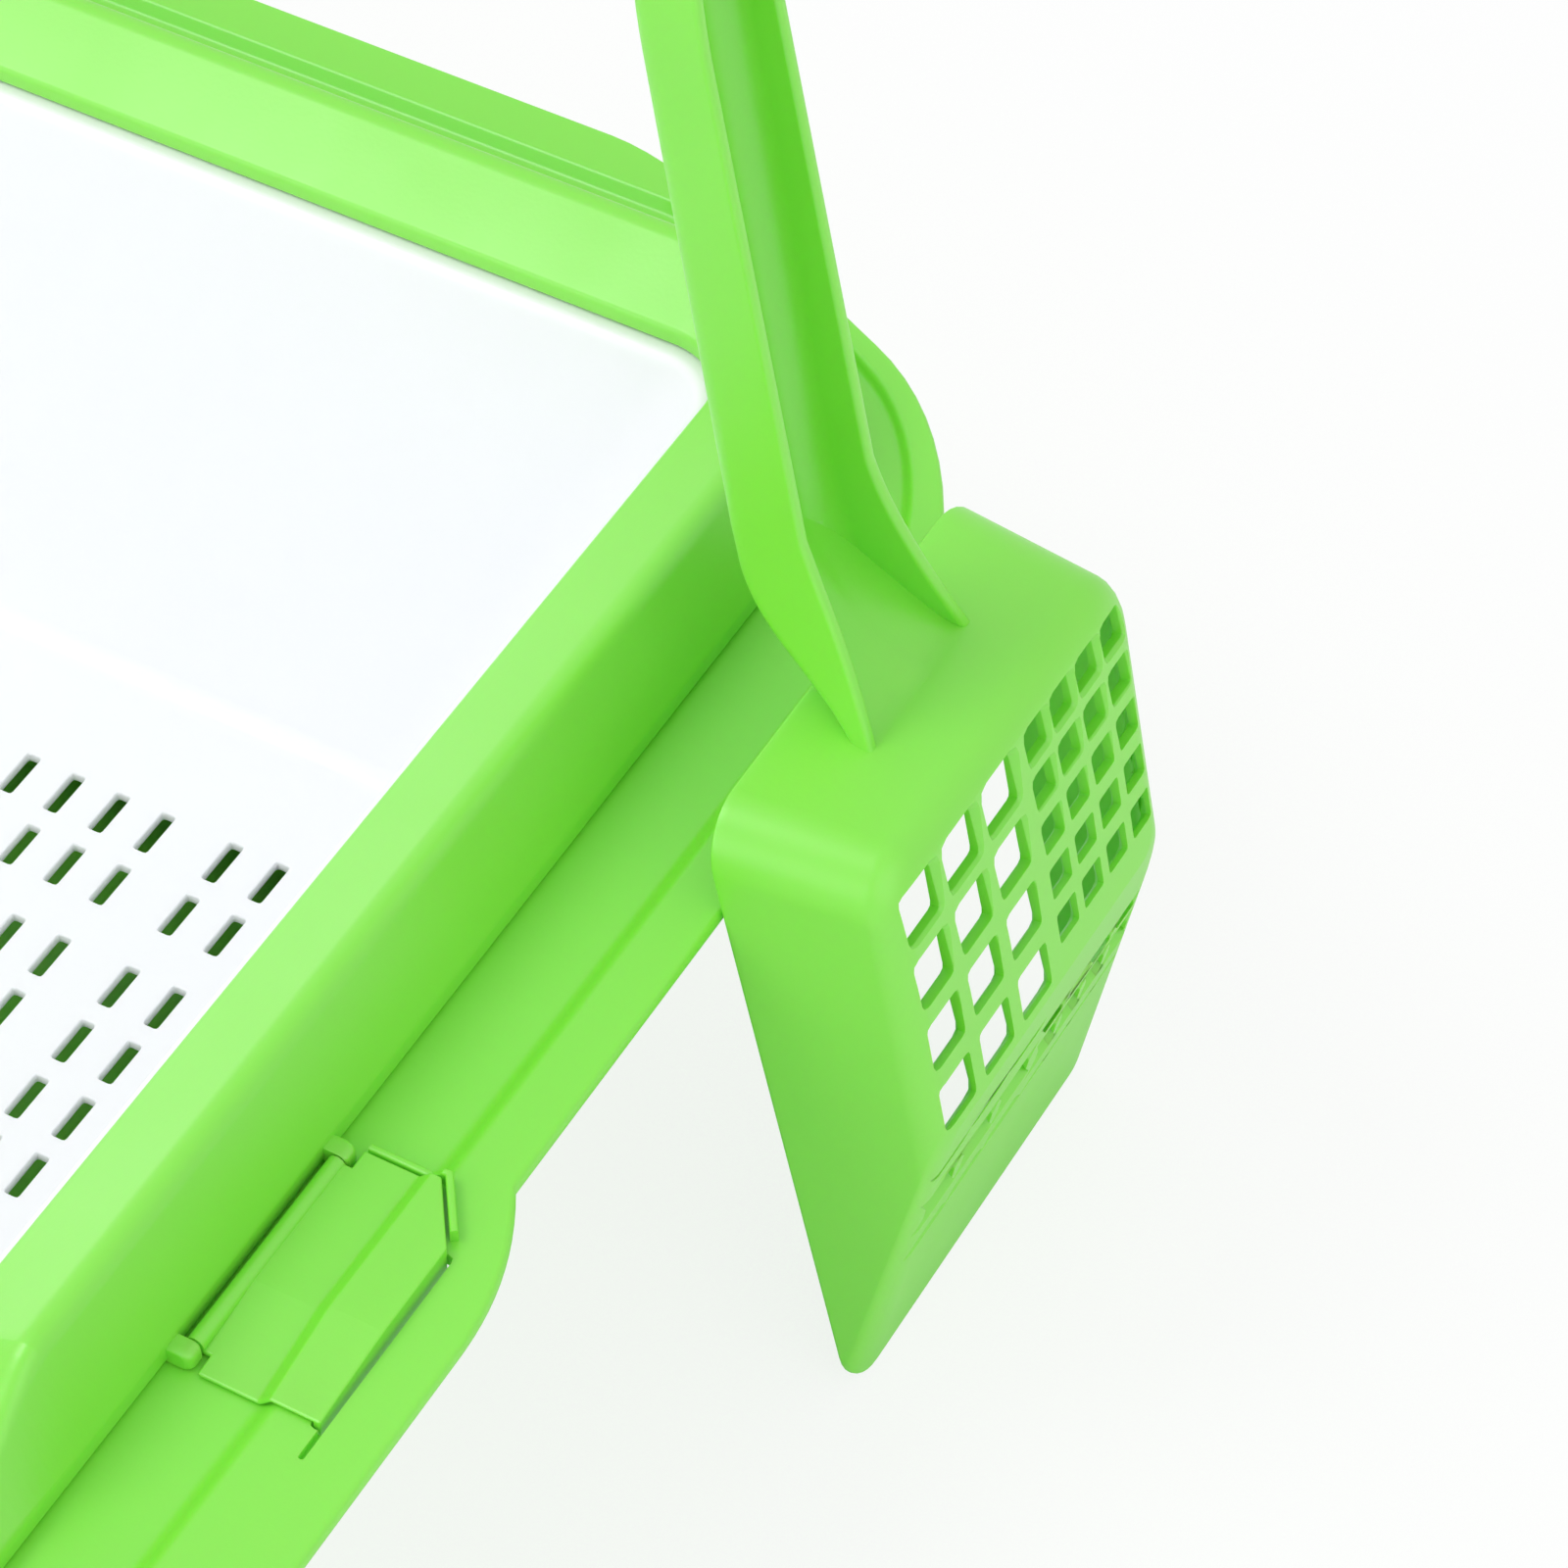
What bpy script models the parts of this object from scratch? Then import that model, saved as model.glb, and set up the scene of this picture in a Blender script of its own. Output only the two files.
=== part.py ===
"""Open-top litter box: a green base tray, a white sieve tray that hangs in it, a green top frame held
down by two hinged latch flaps, and a litter scoop that stands on the floor and leans on the rim.

Metres, +Z up. The origin is the centre of the base tray's underside, +Y points to the high back and
+X to the long side that the scoop leans on.
"""

import math

import bmesh
import bpy
from mathutils import Matrix, Vector

# Box outline. Insets are measured inwards from the outer edge of the rim.
BOX_LENGTH = 0.482
BOX_WIDTH = 0.382
RIM_HEIGHT = 0.101
SHEET = 0.0024
FIT_GAP = 0.0003
OVERRUN = 0.010

# Outer corner of the rim: two smooth curves that meet at a point. Ends and handles are lengths along
# the sides, measured from where the sides would cross.
RIM_CURVE_SHORT_SIDE = 0.0987
RIM_CURVE_SHORT_HANDLE = 0.0165
RIM_CURVE_LONG_SIDE = 0.0926
RIM_CURVE_LONG_HANDLE = 0.0317
RIM_CURVE_MEET = (0.0374, 0.0221)
RIM_CURVE_MEET_TURN = math.radians(24)
RIM_CURVE_MEET_HANDLES = (0.0229, 0.0111)

# Rim of the base tray, from its outer edge inwards: flat lip, short slope, trough floor.
LIP_WIDTH = 0.009
LIP_SLOPE = 0.002
TROUGH_FLOOR_WIDTH = 0.015

# Wider stretch of the lip in the middle of each long side.
BULGE_DEPTH = 0.0078
BULGE_HALF_LENGTH = 0.048
BULGE_RUN = 0.028
BULGE_POWER = 2.2

# Top frame: upright foot, leaning outer wall, ridge, band that falls to the inner edge, and a bead.
FRAME_FOOT_RISE = 0.0034
FRAME_WALL_LEAN = 0.006
FRAME_WALL_RISE = 0.0225
FRAME_BAND_WIDTH = 0.0154
FRAME_BAND_FALL = 0.0078
FRAME_BEAD = 0.003
FRAME_INNER_RADIUS = 0.012

# The frame, with what it covers, steps down towards the front.
FRONT_STEP = 0.012
FRONT_STEP_START_Y = -0.016
FRONT_STEP_RUN = 0.021
UPSTAND_STEP_LEAD = 0.0015

# Upstand of the base tray that carries the sieve tray's flange, and the tray's own walls.
UPSTAND_TOP_WIDTH = 0.005
UPSTAND_LEAN = 0.0015
FLANGE_REACH = 0.0135
TRAY_SIDE_SPREAD = 0.0315
TRAY_FLOOR_RADIUS = 0.030

# Sieve tray.
SIEVE_SHEET = 0.002
SIEVE_FLOOR_HEIGHT = 0.021
SIEVE_WALL_SPREAD = 0.0300
SIEVE_FOLD = 0.003
SIEVE_FLOOR_RADIUS = 0.022

# Slots in the sieve tray's floor, in panels with a wider gap between them. Each slot here stands for
# two short ones of the real row.
SLOT_WIDTH = 0.0026
SLOT_SHORT_LENGTH = 0.0089
SLOT_PITCH_ACROSS = 0.0089
SLOT_PITCH_ALONG = 0.0129
SLOT_PANEL_GAP = 0.0044
SLOT_SIDE_MARGIN = 0.0130
SLOT_END_MARGIN = 0.0270
PANEL_COLUMNS = 5
PANEL_ROWS = 4
ROWS_PER_SLOT = 2

# Latch flaps.
LATCH_Y = 0.022
LATCH_LENGTH = 0.042
LATCH_SHEET = 0.002
LATCH_HINGE_OUT = 0.0024
LATCH_BARREL_RADIUS = 0.0014
LATCH_PIN_RADIUS = 0.0008
LATCH_PIN_LENGTH = 0.0026
LATCH_EDGE_INSET = 0.0017
LATCH_TONGUE_WIDTH = 0.0012
LATCH_TONGUE_DROP = 0.0052
LATCH_CHAMFER_ACROSS = 0.007
LATCH_CHAMFER_ALONG = 0.010
LATCH_SWING_ROOM = 0.0008
LATCH_SLOT_END_ROOM = 0.0005
LATCH_GROOVE_RUN = 0.0050
LATCH_GROOVE_DEPTH = 0.0012
EAR_LENGTH = 0.003
EAR_HEIGHT = 0.0032
EAR_OUT = 0.0042

# Scoop. Places along it are measured from its front edge, depths from the plane of its rim.
SCOOP_FROM_BACK = 0.097
SCOOP_LEAN = math.radians(12)
SCOOP_LENGTH = 0.263
SCOOP_SHEET = 0.0021
BLADE_LENGTH = 0.120
BLADE_HALF_WIDTH = 0.040
BLADE_PANEL_HALF_WIDTH = 0.037
BLADE_DEPTH = 0.028
BLADE_CREASE_DEPTH = 0.026
BLADE_CREASE_SHARE = 0.495
BLADE_REAR_RUN = 0.0066
BLADE_FRONT_EDGE = 0.0012
BLADE_FOLD_RADIUS = 0.0050
BLADE_FRONT_CORNER = 0.0075
BLADE_REAR_CORNER = 0.0095
BLADE_CREASE_CORNER = 0.0040

# Holes of the blade.
LARGE_HOLE = 0.0090
LARGE_PITCH_ACROSS = 0.0120
LARGE_PITCH_ALONG = 0.0127
LARGE_FIRST_ACROSS = -0.0292
SMALL_HOLE = 0.0060
SMALL_PITCH_ACROSS = 0.0080
SMALL_PITCH_ALONG = 0.0092
SMALL_FIRST_ACROSS = 0.0062
LARGE_COLUMNS = 3
SMALL_COLUMNS = 4
HOLE_REAR_MARGIN = 0.0052
HOLE_CREASE_MARGIN = 0.0016
HOLE_FRONT_MARGIN = 0.0280

# Handle of the scoop: a channel that opens away from the box. Its side walls flare out, its floor ramps
# up and its back draws in, each over its own run down to the foot on the blade's rear wall.
HANDLE_HALF_WIDTH = 0.0107
HANDLE_END_HALF_WIDTH = 0.0100
HANDLE_EDGE = 0.0059
HANDLE_DEPTH = 0.0121
HANDLE_END_DEPTH = 0.0106
HANDLE_TILT_SHARE = 0.038
HANDLE_FOOT_HALF_WIDTH = 0.0155
HANDLE_FOOT_EDGE = 0.0140
HANDLE_FOOT_BACK = 0.0110
HANDLE_FLARE_RUN = 0.0344
HANDLE_RAMP_RUN = 0.0264
HANDLE_BACK_RUN = 0.0214
HANDLE_FLARE_POWER = 2
HANDLE_RAMP_POWER = 1.25
HANDLE_END_REACH = 0.031
HANDLE_FOOT_STEPS = 8
HANDLE_END_STEPS = 5

SIDE_NAMES = {1: "right", -1: "left"}
CORNER_STEPS = 10
BLADE_CORNER_STEPS = 4
FOLD_STEPS = 3
STEP_STATIONS = 6
ROUND_SIDES = 16

# Places and sizes that follow from the ones above.
SLOPE_INSET = LIP_WIDTH + LIP_SLOPE
TROUGH_HEIGHT = RIM_HEIGHT - LIP_SLOPE
FRAME_FOOT_INSET = SLOPE_INSET + TROUGH_FLOOR_WIDTH
RIDGE_INSET = FRAME_FOOT_INSET + FRAME_WALL_LEAN
FRAME_INNER_INSET = RIDGE_INSET + FRAME_BAND_WIDTH
FRAME_FOOT_HEIGHT = TROUGH_HEIGHT + FIT_GAP
RIDGE_HEIGHT = FRAME_FOOT_HEIGHT + FRAME_WALL_RISE
FRAME_INNER_HEIGHT = RIDGE_HEIGHT - FRAME_BAND_FALL
FLANGE_TOP = FRAME_INNER_HEIGHT - FRAME_BEAD - FIT_GAP
UPSTAND_TOP = FLANGE_TOP - SIEVE_SHEET - FIT_GAP
SIEVE_MOUTH_INSET = FRAME_INNER_INSET + SHEET
UPSTAND_TOP_INSET = SIEVE_MOUTH_INSET - FLANGE_REACH
UPSTAND_FOOT_INSET = UPSTAND_TOP_INSET - UPSTAND_LEAN
TRAY_WALL_INSET = UPSTAND_TOP_INSET + UPSTAND_TOP_WIDTH
TRAY_FLOOR_INSET = TRAY_WALL_INSET + TRAY_SIDE_SPREAD
SIEVE_FLOOR_INSET = SIEVE_MOUTH_INSET + SIEVE_WALL_SPREAD
HINGE_INSET = FRAME_FOOT_INSET - LATCH_HINGE_OUT
HINGE_HEIGHT = TROUGH_HEIGHT + FIT_GAP + LATCH_BARREL_RADIUS
LATCH_BARREL_LENGTH = LATCH_LENGTH - 2 * (EAR_LENGTH + FIT_GAP)
EAR_CORNER_RADIUS = math.hypot(EAR_OUT - LATCH_HINGE_OUT, FRAME_FOOT_HEIGHT + EAR_HEIGHT - HINGE_HEIGHT)
RIM_CONTACT = FIT_GAP / math.cos(SCOOP_LEAN) + RIM_HEIGHT * math.tan(SCOOP_LEAN)


# Scene and small helpers.

def clear_scene():
    for obj in list(bpy.data.objects):
        bpy.data.objects.remove(obj, do_unlink=True)


def new_collection(name):
    collection = bpy.data.collections.new(name)
    bpy.context.scene.collection.children.link(collection)
    return collection


def plastic(name, color, roughness):
    material = bpy.data.materials.new(name)
    material.use_nodes = True
    shader = material.node_tree.nodes["Principled BSDF"]
    shader.inputs["Base Color"].default_value = (*color, 1)
    shader.inputs["Roughness"].default_value = roughness
    shader.inputs["Metallic"].default_value = 0
    material.diffuse_color = (*color, 1)
    return material


def object_from(mesh_builder, name, collection, material=None):
    mesh = bpy.data.meshes.new(name)
    mesh_builder.to_mesh(mesh)
    mesh_builder.free()
    obj = bpy.data.objects.new(name, mesh)
    collection.objects.link(obj)
    if material:
        mesh.materials.append(material)
    return obj


def cutter_from(mesh_builder, name, collection):
    cutter = object_from(mesh_builder, name, collection)
    cutter.hide_render = True
    cutter.display_type = "WIRE"
    return cutter


def solidify(obj, thickness):
    modifier = obj.modifiers.new("thickness", "SOLIDIFY")
    modifier.thickness = thickness
    modifier.offset = -1
    modifier.use_even_offset = True
    modifier.use_quality_normals = True


def boolean(obj, other, operation, name):
    modifier = obj.modifiers.new(name, "BOOLEAN")
    modifier.object = other
    modifier.operation = operation
    modifier.solver = "EXACT"


def add_box(mesh_builder, low, high, turn=None):
    """A box between two corners, turned by a matrix when one is given."""
    size = [high[i] - low[i] for i in range(3)]
    middle = Vector([(high[i] + low[i]) / 2 for i in range(3)])
    matrix = Matrix.Translation(middle) @ Matrix.Diagonal((*size, 1))
    if turn:
        matrix = turn @ matrix
    bmesh.ops.create_cube(mesh_builder, size=1, matrix=matrix)


def add_rod(mesh_builder, radius, middle, length):
    """A round rod along Y."""
    matrix = Matrix.Translation(middle) @ Matrix.Rotation(math.pi / 2, 4, "X")
    bmesh.ops.create_cone(
        mesh_builder, cap_ends=True, segments=ROUND_SIDES,
        radius1=radius, radius2=radius, depth=length, matrix=matrix,
    )


def eased(share):
    share = min(max(share, 0), 1)
    return share * share * (3 - 2 * share)


# Rings: the closed outlines that the trays and the frame are lofted through.

def front_drop(y):
    return FRONT_STEP * eased((FRONT_STEP_START_Y - y) / FRONT_STEP_RUN)


def lip_bulge(y):
    share = min(max((BULGE_HALF_LENGTH - abs(y)) / BULGE_RUN, 0), 1)
    return BULGE_DEPTH * (1 - (1 - share) ** BULGE_POWER)


def long_side_stations():
    steps = [i / STEP_STATIONS for i in range(STEP_STATIONS + 1)]
    bulge = [BULGE_HALF_LENGTH - BULGE_RUN * step for step in steps]
    stations = {round(y, 6) for y in bulge} | {round(-y, 6) for y in bulge}
    stations |= {round(FRONT_STEP_START_Y - FRONT_STEP_RUN * step, 6) for step in steps}
    return sorted(stations)


def even_corner(reach):
    """Insets of the corner's points from the sides, from the long side round to the short one."""
    angles = [i / CORNER_STEPS * math.pi / 2 for i in range(CORNER_STEPS + 1)]
    return [(reach - reach * math.cos(angle), reach - reach * math.sin(angle)) for angle in angles]


def smooth_curve(start, start_handle, end_handle, end, steps):
    points = []
    for i in range(steps + 1):
        share = i / steps
        rest = 1 - share
        points.append(
            start * rest ** 3 + start_handle * 3 * rest ** 2 * share
            + end_handle * 3 * rest * share ** 2 + end * share ** 3
        )
    return points


def rim_corner():
    """The rim's corner in the form of even_corner, as two smooth curves."""
    meet = Vector(RIM_CURVE_MEET)
    turn = Vector((math.cos(RIM_CURVE_MEET_TURN), -math.sin(RIM_CURVE_MEET_TURN)))
    long_handle, short_handle = RIM_CURVE_MEET_HANDLES
    long_end = Vector((0, RIM_CURVE_LONG_SIDE))
    short_end = Vector((RIM_CURVE_SHORT_SIDE, 0))
    long_curve = smooth_curve(
        long_end, long_end - Vector((0, RIM_CURVE_LONG_HANDLE)), meet - turn * long_handle, meet,
        CORNER_STEPS // 2,
    )
    short_curve = smooth_curve(
        meet, meet + turn * short_handle, short_end - Vector((RIM_CURVE_SHORT_HANDLE, 0)), short_end,
        CORNER_STEPS // 2,
    )
    return long_curve + short_curve[1:]


def ring(inset, height, corner_insets, bulged=False, lowered=False, step_lead=0):
    """One outline, anticlockwise from above.

    A bulged ring has the wider stretch of the lip. A lowered ring follows the front step, which
    starts nearer to the back by step_lead.
    """
    half_width = BOX_WIDTH / 2 - inset
    half_length = BOX_LENGTH / 2 - inset
    stations = long_side_stations()
    corner = [(half_width - across, half_length - along) for across, along in corner_insets]
    side = [(half_width + (lip_bulge(y) if bulged else 0), y) for y in stations]
    points = list(side) + corner
    points += [(-x, y) for x, y in reversed(corner)]
    points += [(-x, y) for x, y in reversed(side)]
    points += [(-x, -y) for x, y in corner]
    points += [(x, -y) for x, y in reversed(corner)]
    return [Vector((x, y, height - (front_drop(y - step_lead) if lowered else 0))) for x, y in points]


def loft(rings, filled=False):
    mesh_builder = bmesh.new()
    rows = [[mesh_builder.verts.new(point) for point in points] for points in rings]
    count = len(rows[0])
    for outer, inner in zip(rows, rows[1:]):
        for i in range(count):
            j = (i + 1) % count
            mesh_builder.faces.new((outer[i], outer[j], inner[j], inner[i]))
    if filled:
        mesh_builder.faces.new(rows[-1])
    return mesh_builder


def inner_corner(inset):
    """Corner of the frame and of what it covers, parallel to the frame's inner edge."""
    return even_corner(FRAME_INNER_RADIUS + FRAME_INNER_INSET - inset)


def lip_inner_corner(inset):
    """Corner on the way from the rim's corner to the frame's, as far along it as on the sides."""
    share = inset / FRAME_FOOT_INSET
    foot_corner = inner_corner(FRAME_FOOT_INSET)
    return [
        (across * (1 - share) + foot_across * share, along * (1 - share) + foot_along * share)
        for (across, along), (foot_across, foot_along) in zip(rim_corner(), foot_corner)
    ]


# Base tray.

def base_rings():
    upstand_corner = inner_corner(UPSTAND_TOP_INSET)
    wall_corner = inner_corner(TRAY_WALL_INSET)
    lead = UPSTAND_STEP_LEAD
    return [
        ring(0, RIM_HEIGHT, rim_corner(), bulged=True),
        ring(LIP_WIDTH, RIM_HEIGHT, lip_inner_corner(LIP_WIDTH)),
        ring(SLOPE_INSET, TROUGH_HEIGHT, lip_inner_corner(SLOPE_INSET)),
        ring(UPSTAND_FOOT_INSET, TROUGH_HEIGHT, inner_corner(UPSTAND_FOOT_INSET)),
        ring(UPSTAND_TOP_INSET, UPSTAND_TOP, upstand_corner, lowered=True, step_lead=lead),
        ring(TRAY_WALL_INSET, UPSTAND_TOP, wall_corner, lowered=True, step_lead=lead),
        ring(TRAY_FLOOR_INSET, SHEET, even_corner(TRAY_FLOOR_RADIUS)),
    ]


def latch_slot_box(side):
    """Slot in the lip that the flap's tongue drops through, with room for the tongue's swing."""
    edge = BOX_WIDTH / 2
    outer = edge - LATCH_EDGE_INSET + LATCH_SWING_ROOM
    inner = edge - LATCH_EDGE_INSET - LATCH_TONGUE_WIDTH - FIT_GAP
    low_y = LATCH_Y - LATCH_LENGTH / 2 - LATCH_SLOT_END_ROOM
    chamfer_left = LATCH_CHAMFER_ALONG * (1 - LATCH_TONGUE_WIDTH / LATCH_CHAMFER_ACROSS)
    high_y = LATCH_Y + LATCH_LENGTH / 2 - chamfer_left + LATCH_SLOT_END_ROOM
    xs = sorted((side * inner, side * outer))
    return (xs[0], low_y, RIM_HEIGHT - OVERRUN), (xs[1], high_y, RIM_HEIGHT + OVERRUN)


def latch_groove_box(side):
    """Shallow groove that runs on from the slot past the flap's front end."""
    edge = BOX_WIDTH / 2 - LATCH_EDGE_INSET
    start_y = LATCH_Y - LATCH_LENGTH / 2
    xs = sorted((side * edge, side * (edge + LATCH_SWING_ROOM)))
    low = (xs[0], start_y - LATCH_SLOT_END_ROOM - LATCH_GROOVE_RUN, RIM_HEIGHT - LATCH_GROOVE_DEPTH)
    return low, (xs[1], start_y, RIM_HEIGHT + OVERRUN)


def build_base_tray(parts, cutters, material):
    tray = object_from(loft(base_rings(), filled=True), "base_tray", parts, material)
    solidify(tray, SHEET)
    slots = bmesh.new()
    grooves = bmesh.new()
    for side in SIDE_NAMES:
        add_box(slots, *latch_slot_box(side))
        add_box(grooves, *latch_groove_box(side))
    boolean(tray, cutter_from(slots, "latch_slots_cut", cutters), "DIFFERENCE", "latch slots")
    boolean(tray, cutter_from(grooves, "latch_grooves_cut", cutters), "DIFFERENCE", "latch grooves")
    return tray


# Sieve tray.

def sieve_rings():
    fold_inset = SIEVE_FLOOR_INSET - SIEVE_FOLD / 2
    floor_corner = even_corner(SIEVE_FLOOR_RADIUS - SIEVE_FOLD)
    return [
        ring(UPSTAND_TOP_INSET, FLANGE_TOP, inner_corner(UPSTAND_TOP_INSET), lowered=True),
        ring(SIEVE_MOUTH_INSET, FLANGE_TOP, inner_corner(SIEVE_MOUTH_INSET), lowered=True),
        ring(fold_inset, SIEVE_FLOOR_HEIGHT + SIEVE_FOLD, even_corner(SIEVE_FLOOR_RADIUS)),
        ring(SIEVE_FLOOR_INSET + SIEVE_FOLD, SIEVE_FLOOR_HEIGHT, floor_corner),
    ]


def places_from_middle(limit, pitch, per_panel):
    """Places of slots from the middle out to a limit. An odd panel is centred, an even one isn't."""
    odd = per_panel % 2
    place = 0 if odd else (pitch + SLOT_PANEL_GAP) / 2
    left_in_panel = (per_panel + 1) // 2 if odd else per_panel
    places = []
    while place <= limit:
        places.append(place)
        place += pitch
        left_in_panel -= 1
        if not left_in_panel:
            place += SLOT_PANEL_GAP
            left_in_panel = per_panel
    return places


def slot_cutter():
    side_limit = BOX_WIDTH / 2 - SIEVE_FLOOR_INSET - SLOT_SIDE_MARGIN
    end_limit = BOX_LENGTH / 2 - SIEVE_FLOOR_INSET - SLOT_END_MARGIN
    across = places_from_middle(side_limit, SLOT_PITCH_ACROSS, PANEL_COLUMNS)
    along = places_from_middle(end_limit, SLOT_PITCH_ALONG, PANEL_ROWS)
    pairs = list(zip(along[::ROWS_PER_SLOT], along[ROWS_PER_SLOT - 1::ROWS_PER_SLOT]))
    half = SLOT_SHORT_LENGTH / 2
    spans = [(first - half, last + half) for first, last in pairs]
    spans += [(-high, -low) for low, high in spans]
    slots = bmesh.new()
    for x in sorted({*across, *[-x for x in across]}):
        for low_y, high_y in spans:
            low = (x - SLOT_WIDTH / 2, low_y, SIEVE_FLOOR_HEIGHT - OVERRUN)
            high = (x + SLOT_WIDTH / 2, high_y, SIEVE_FLOOR_HEIGHT + OVERRUN)
            add_box(slots, low, high)
    return slots


def build_sieve_tray(parts, cutters, material):
    tray = object_from(loft(sieve_rings(), filled=True), "sieve_tray", parts, material)
    solidify(tray, SIEVE_SHEET)
    boolean(tray, cutter_from(slot_cutter(), "sieve_slots_cut", cutters), "DIFFERENCE", "slots")
    return tray


# Top frame.

def frame_rings():
    bead_height = FRAME_INNER_HEIGHT - FRAME_BEAD
    return [
        ring(FRAME_FOOT_INSET, FRAME_FOOT_HEIGHT, inner_corner(FRAME_FOOT_INSET)),
        ring(FRAME_FOOT_INSET, FRAME_FOOT_HEIGHT + FRAME_FOOT_RISE, inner_corner(FRAME_FOOT_INSET)),
        ring(RIDGE_INSET, RIDGE_HEIGHT, inner_corner(RIDGE_INSET), lowered=True),
        ring(FRAME_INNER_INSET, FRAME_INNER_HEIGHT, inner_corner(FRAME_INNER_INSET), lowered=True),
        ring(FRAME_INNER_INSET, bead_height, inner_corner(FRAME_INNER_INSET), lowered=True),
    ]


def ear_middles():
    offset = (LATCH_LENGTH - EAR_LENGTH) / 2
    return (LATCH_Y - offset, LATCH_Y + offset)


def ear_boxes():
    """Ears at the foot of the frame's wall, two to a latch, that hold the hinge pins."""
    ears = bmesh.new()
    foot = BOX_WIDTH / 2 - FRAME_FOOT_INSET
    for side in SIDE_NAMES:
        xs = sorted((side * (foot - SHEET / 2), side * (foot + EAR_OUT)))
        for y in ear_middles():
            low = (xs[0], y - EAR_LENGTH / 2, FRAME_FOOT_HEIGHT)
            high = (xs[1], y + EAR_LENGTH / 2, FRAME_FOOT_HEIGHT + EAR_HEIGHT)
            add_box(ears, low, high)
    return ears


def hinge_middle(side):
    return Vector((side * (BOX_WIDTH / 2 - HINGE_INSET), LATCH_Y, HINGE_HEIGHT))


def pin_hole_cutter():
    holes = bmesh.new()
    length = LATCH_BARREL_LENGTH + 2 * (LATCH_PIN_LENGTH + FIT_GAP)
    for side in SIDE_NAMES:
        add_rod(holes, LATCH_PIN_RADIUS + FIT_GAP, hinge_middle(side), length)
    return holes


def build_top_frame(parts, cutters, material):
    frame = object_from(loft(frame_rings()), "top_frame", parts, material)
    solidify(frame, SHEET)
    boolean(frame, cutter_from(ear_boxes(), "frame_ears", cutters), "UNION", "ears")
    boolean(frame, cutter_from(pin_hole_cutter(), "pin_holes_cut", cutters), "DIFFERENCE", "pin holes")
    return frame


# Latch flaps.

def flap_profile():
    """Cross-section of a flap as (distance out from the hinge, height above it)."""
    reach = HINGE_INSET - LATCH_EDGE_INSET
    under_trough = TROUGH_HEIGHT + FIT_GAP - HINGE_HEIGHT
    under_lip = under_trough + LIP_SLOPE
    slope_foot = HINGE_INSET - SLOPE_INSET - FIT_GAP
    slope_top = slope_foot + LIP_SLOPE
    tongue_inner = reach - LATCH_TONGUE_WIDTH
    return [
        (0, under_trough),
        (slope_foot, under_trough),
        (slope_top, under_lip),
        (tongue_inner, under_lip),
        (tongue_inner, under_lip - LATCH_TONGUE_DROP),
        (reach, under_lip - LATCH_TONGUE_DROP),
        (reach, under_lip + LATCH_SHEET),
        (slope_top - LATCH_SHEET / 2, under_lip + LATCH_SHEET),
        (slope_foot - LATCH_SHEET / 2, under_trough + LATCH_SHEET),
        (0, under_trough + LATCH_SHEET),
    ]


def flap_mesh(side):
    mesh_builder = bmesh.new()
    profile = flap_profile()
    ends = []
    for y in (-LATCH_LENGTH / 2, LATCH_LENGTH / 2):
        ends.append([mesh_builder.verts.new((side * x, y, z)) for x, z in profile])
    count = len(profile)
    for i in range(count):
        j = (i + 1) % count
        mesh_builder.faces.new((ends[0][i], ends[0][j], ends[1][j], ends[1][i]))
    mesh_builder.faces.new(ends[0])
    mesh_builder.faces.new(ends[1])
    bmesh.ops.recalc_face_normals(mesh_builder, faces=mesh_builder.faces)
    return mesh_builder


def flap_corner_cutter(side):
    """Wedge that takes off the flap's outer corner at its back end."""
    reach = HINGE_INSET - LATCH_EDGE_INSET
    end = LATCH_LENGTH / 2
    along = LATCH_CHAMFER_ALONG
    across = LATCH_CHAMFER_ACROSS
    points = [
        (reach, end - along),
        (reach - across, end),
        (reach - across, end + OVERRUN),
        (reach + OVERRUN, end + OVERRUN),
        (reach + OVERRUN, end - along),
    ]
    mesh_builder = bmesh.new()
    base = [mesh_builder.verts.new((side * x, y, -OVERRUN)) for x, y in points]
    top = [mesh_builder.verts.new((side * x, y, OVERRUN)) for x, y in points]
    count = len(points)
    for i in range(count):
        j = (i + 1) % count
        mesh_builder.faces.new((base[i], base[j], top[j], top[i]))
    mesh_builder.faces.new(base)
    mesh_builder.faces.new(top)
    bmesh.ops.recalc_face_normals(mesh_builder, faces=mesh_builder.faces)
    return mesh_builder


def ear_notch_cutter(side):
    """Notches at the flap's ends that leave room for the frame's ears as the flap swings."""
    xs = sorted((-side * OVERRUN, side * (EAR_CORNER_RADIUS + FIT_GAP)))
    notches = bmesh.new()
    for end in (-1, 1):
        ys = sorted((end * LATCH_BARREL_LENGTH / 2, end * (LATCH_LENGTH / 2 + OVERRUN)))
        add_box(notches, (xs[0], ys[0], -OVERRUN), (xs[1], ys[1], OVERRUN))
    return notches


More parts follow.
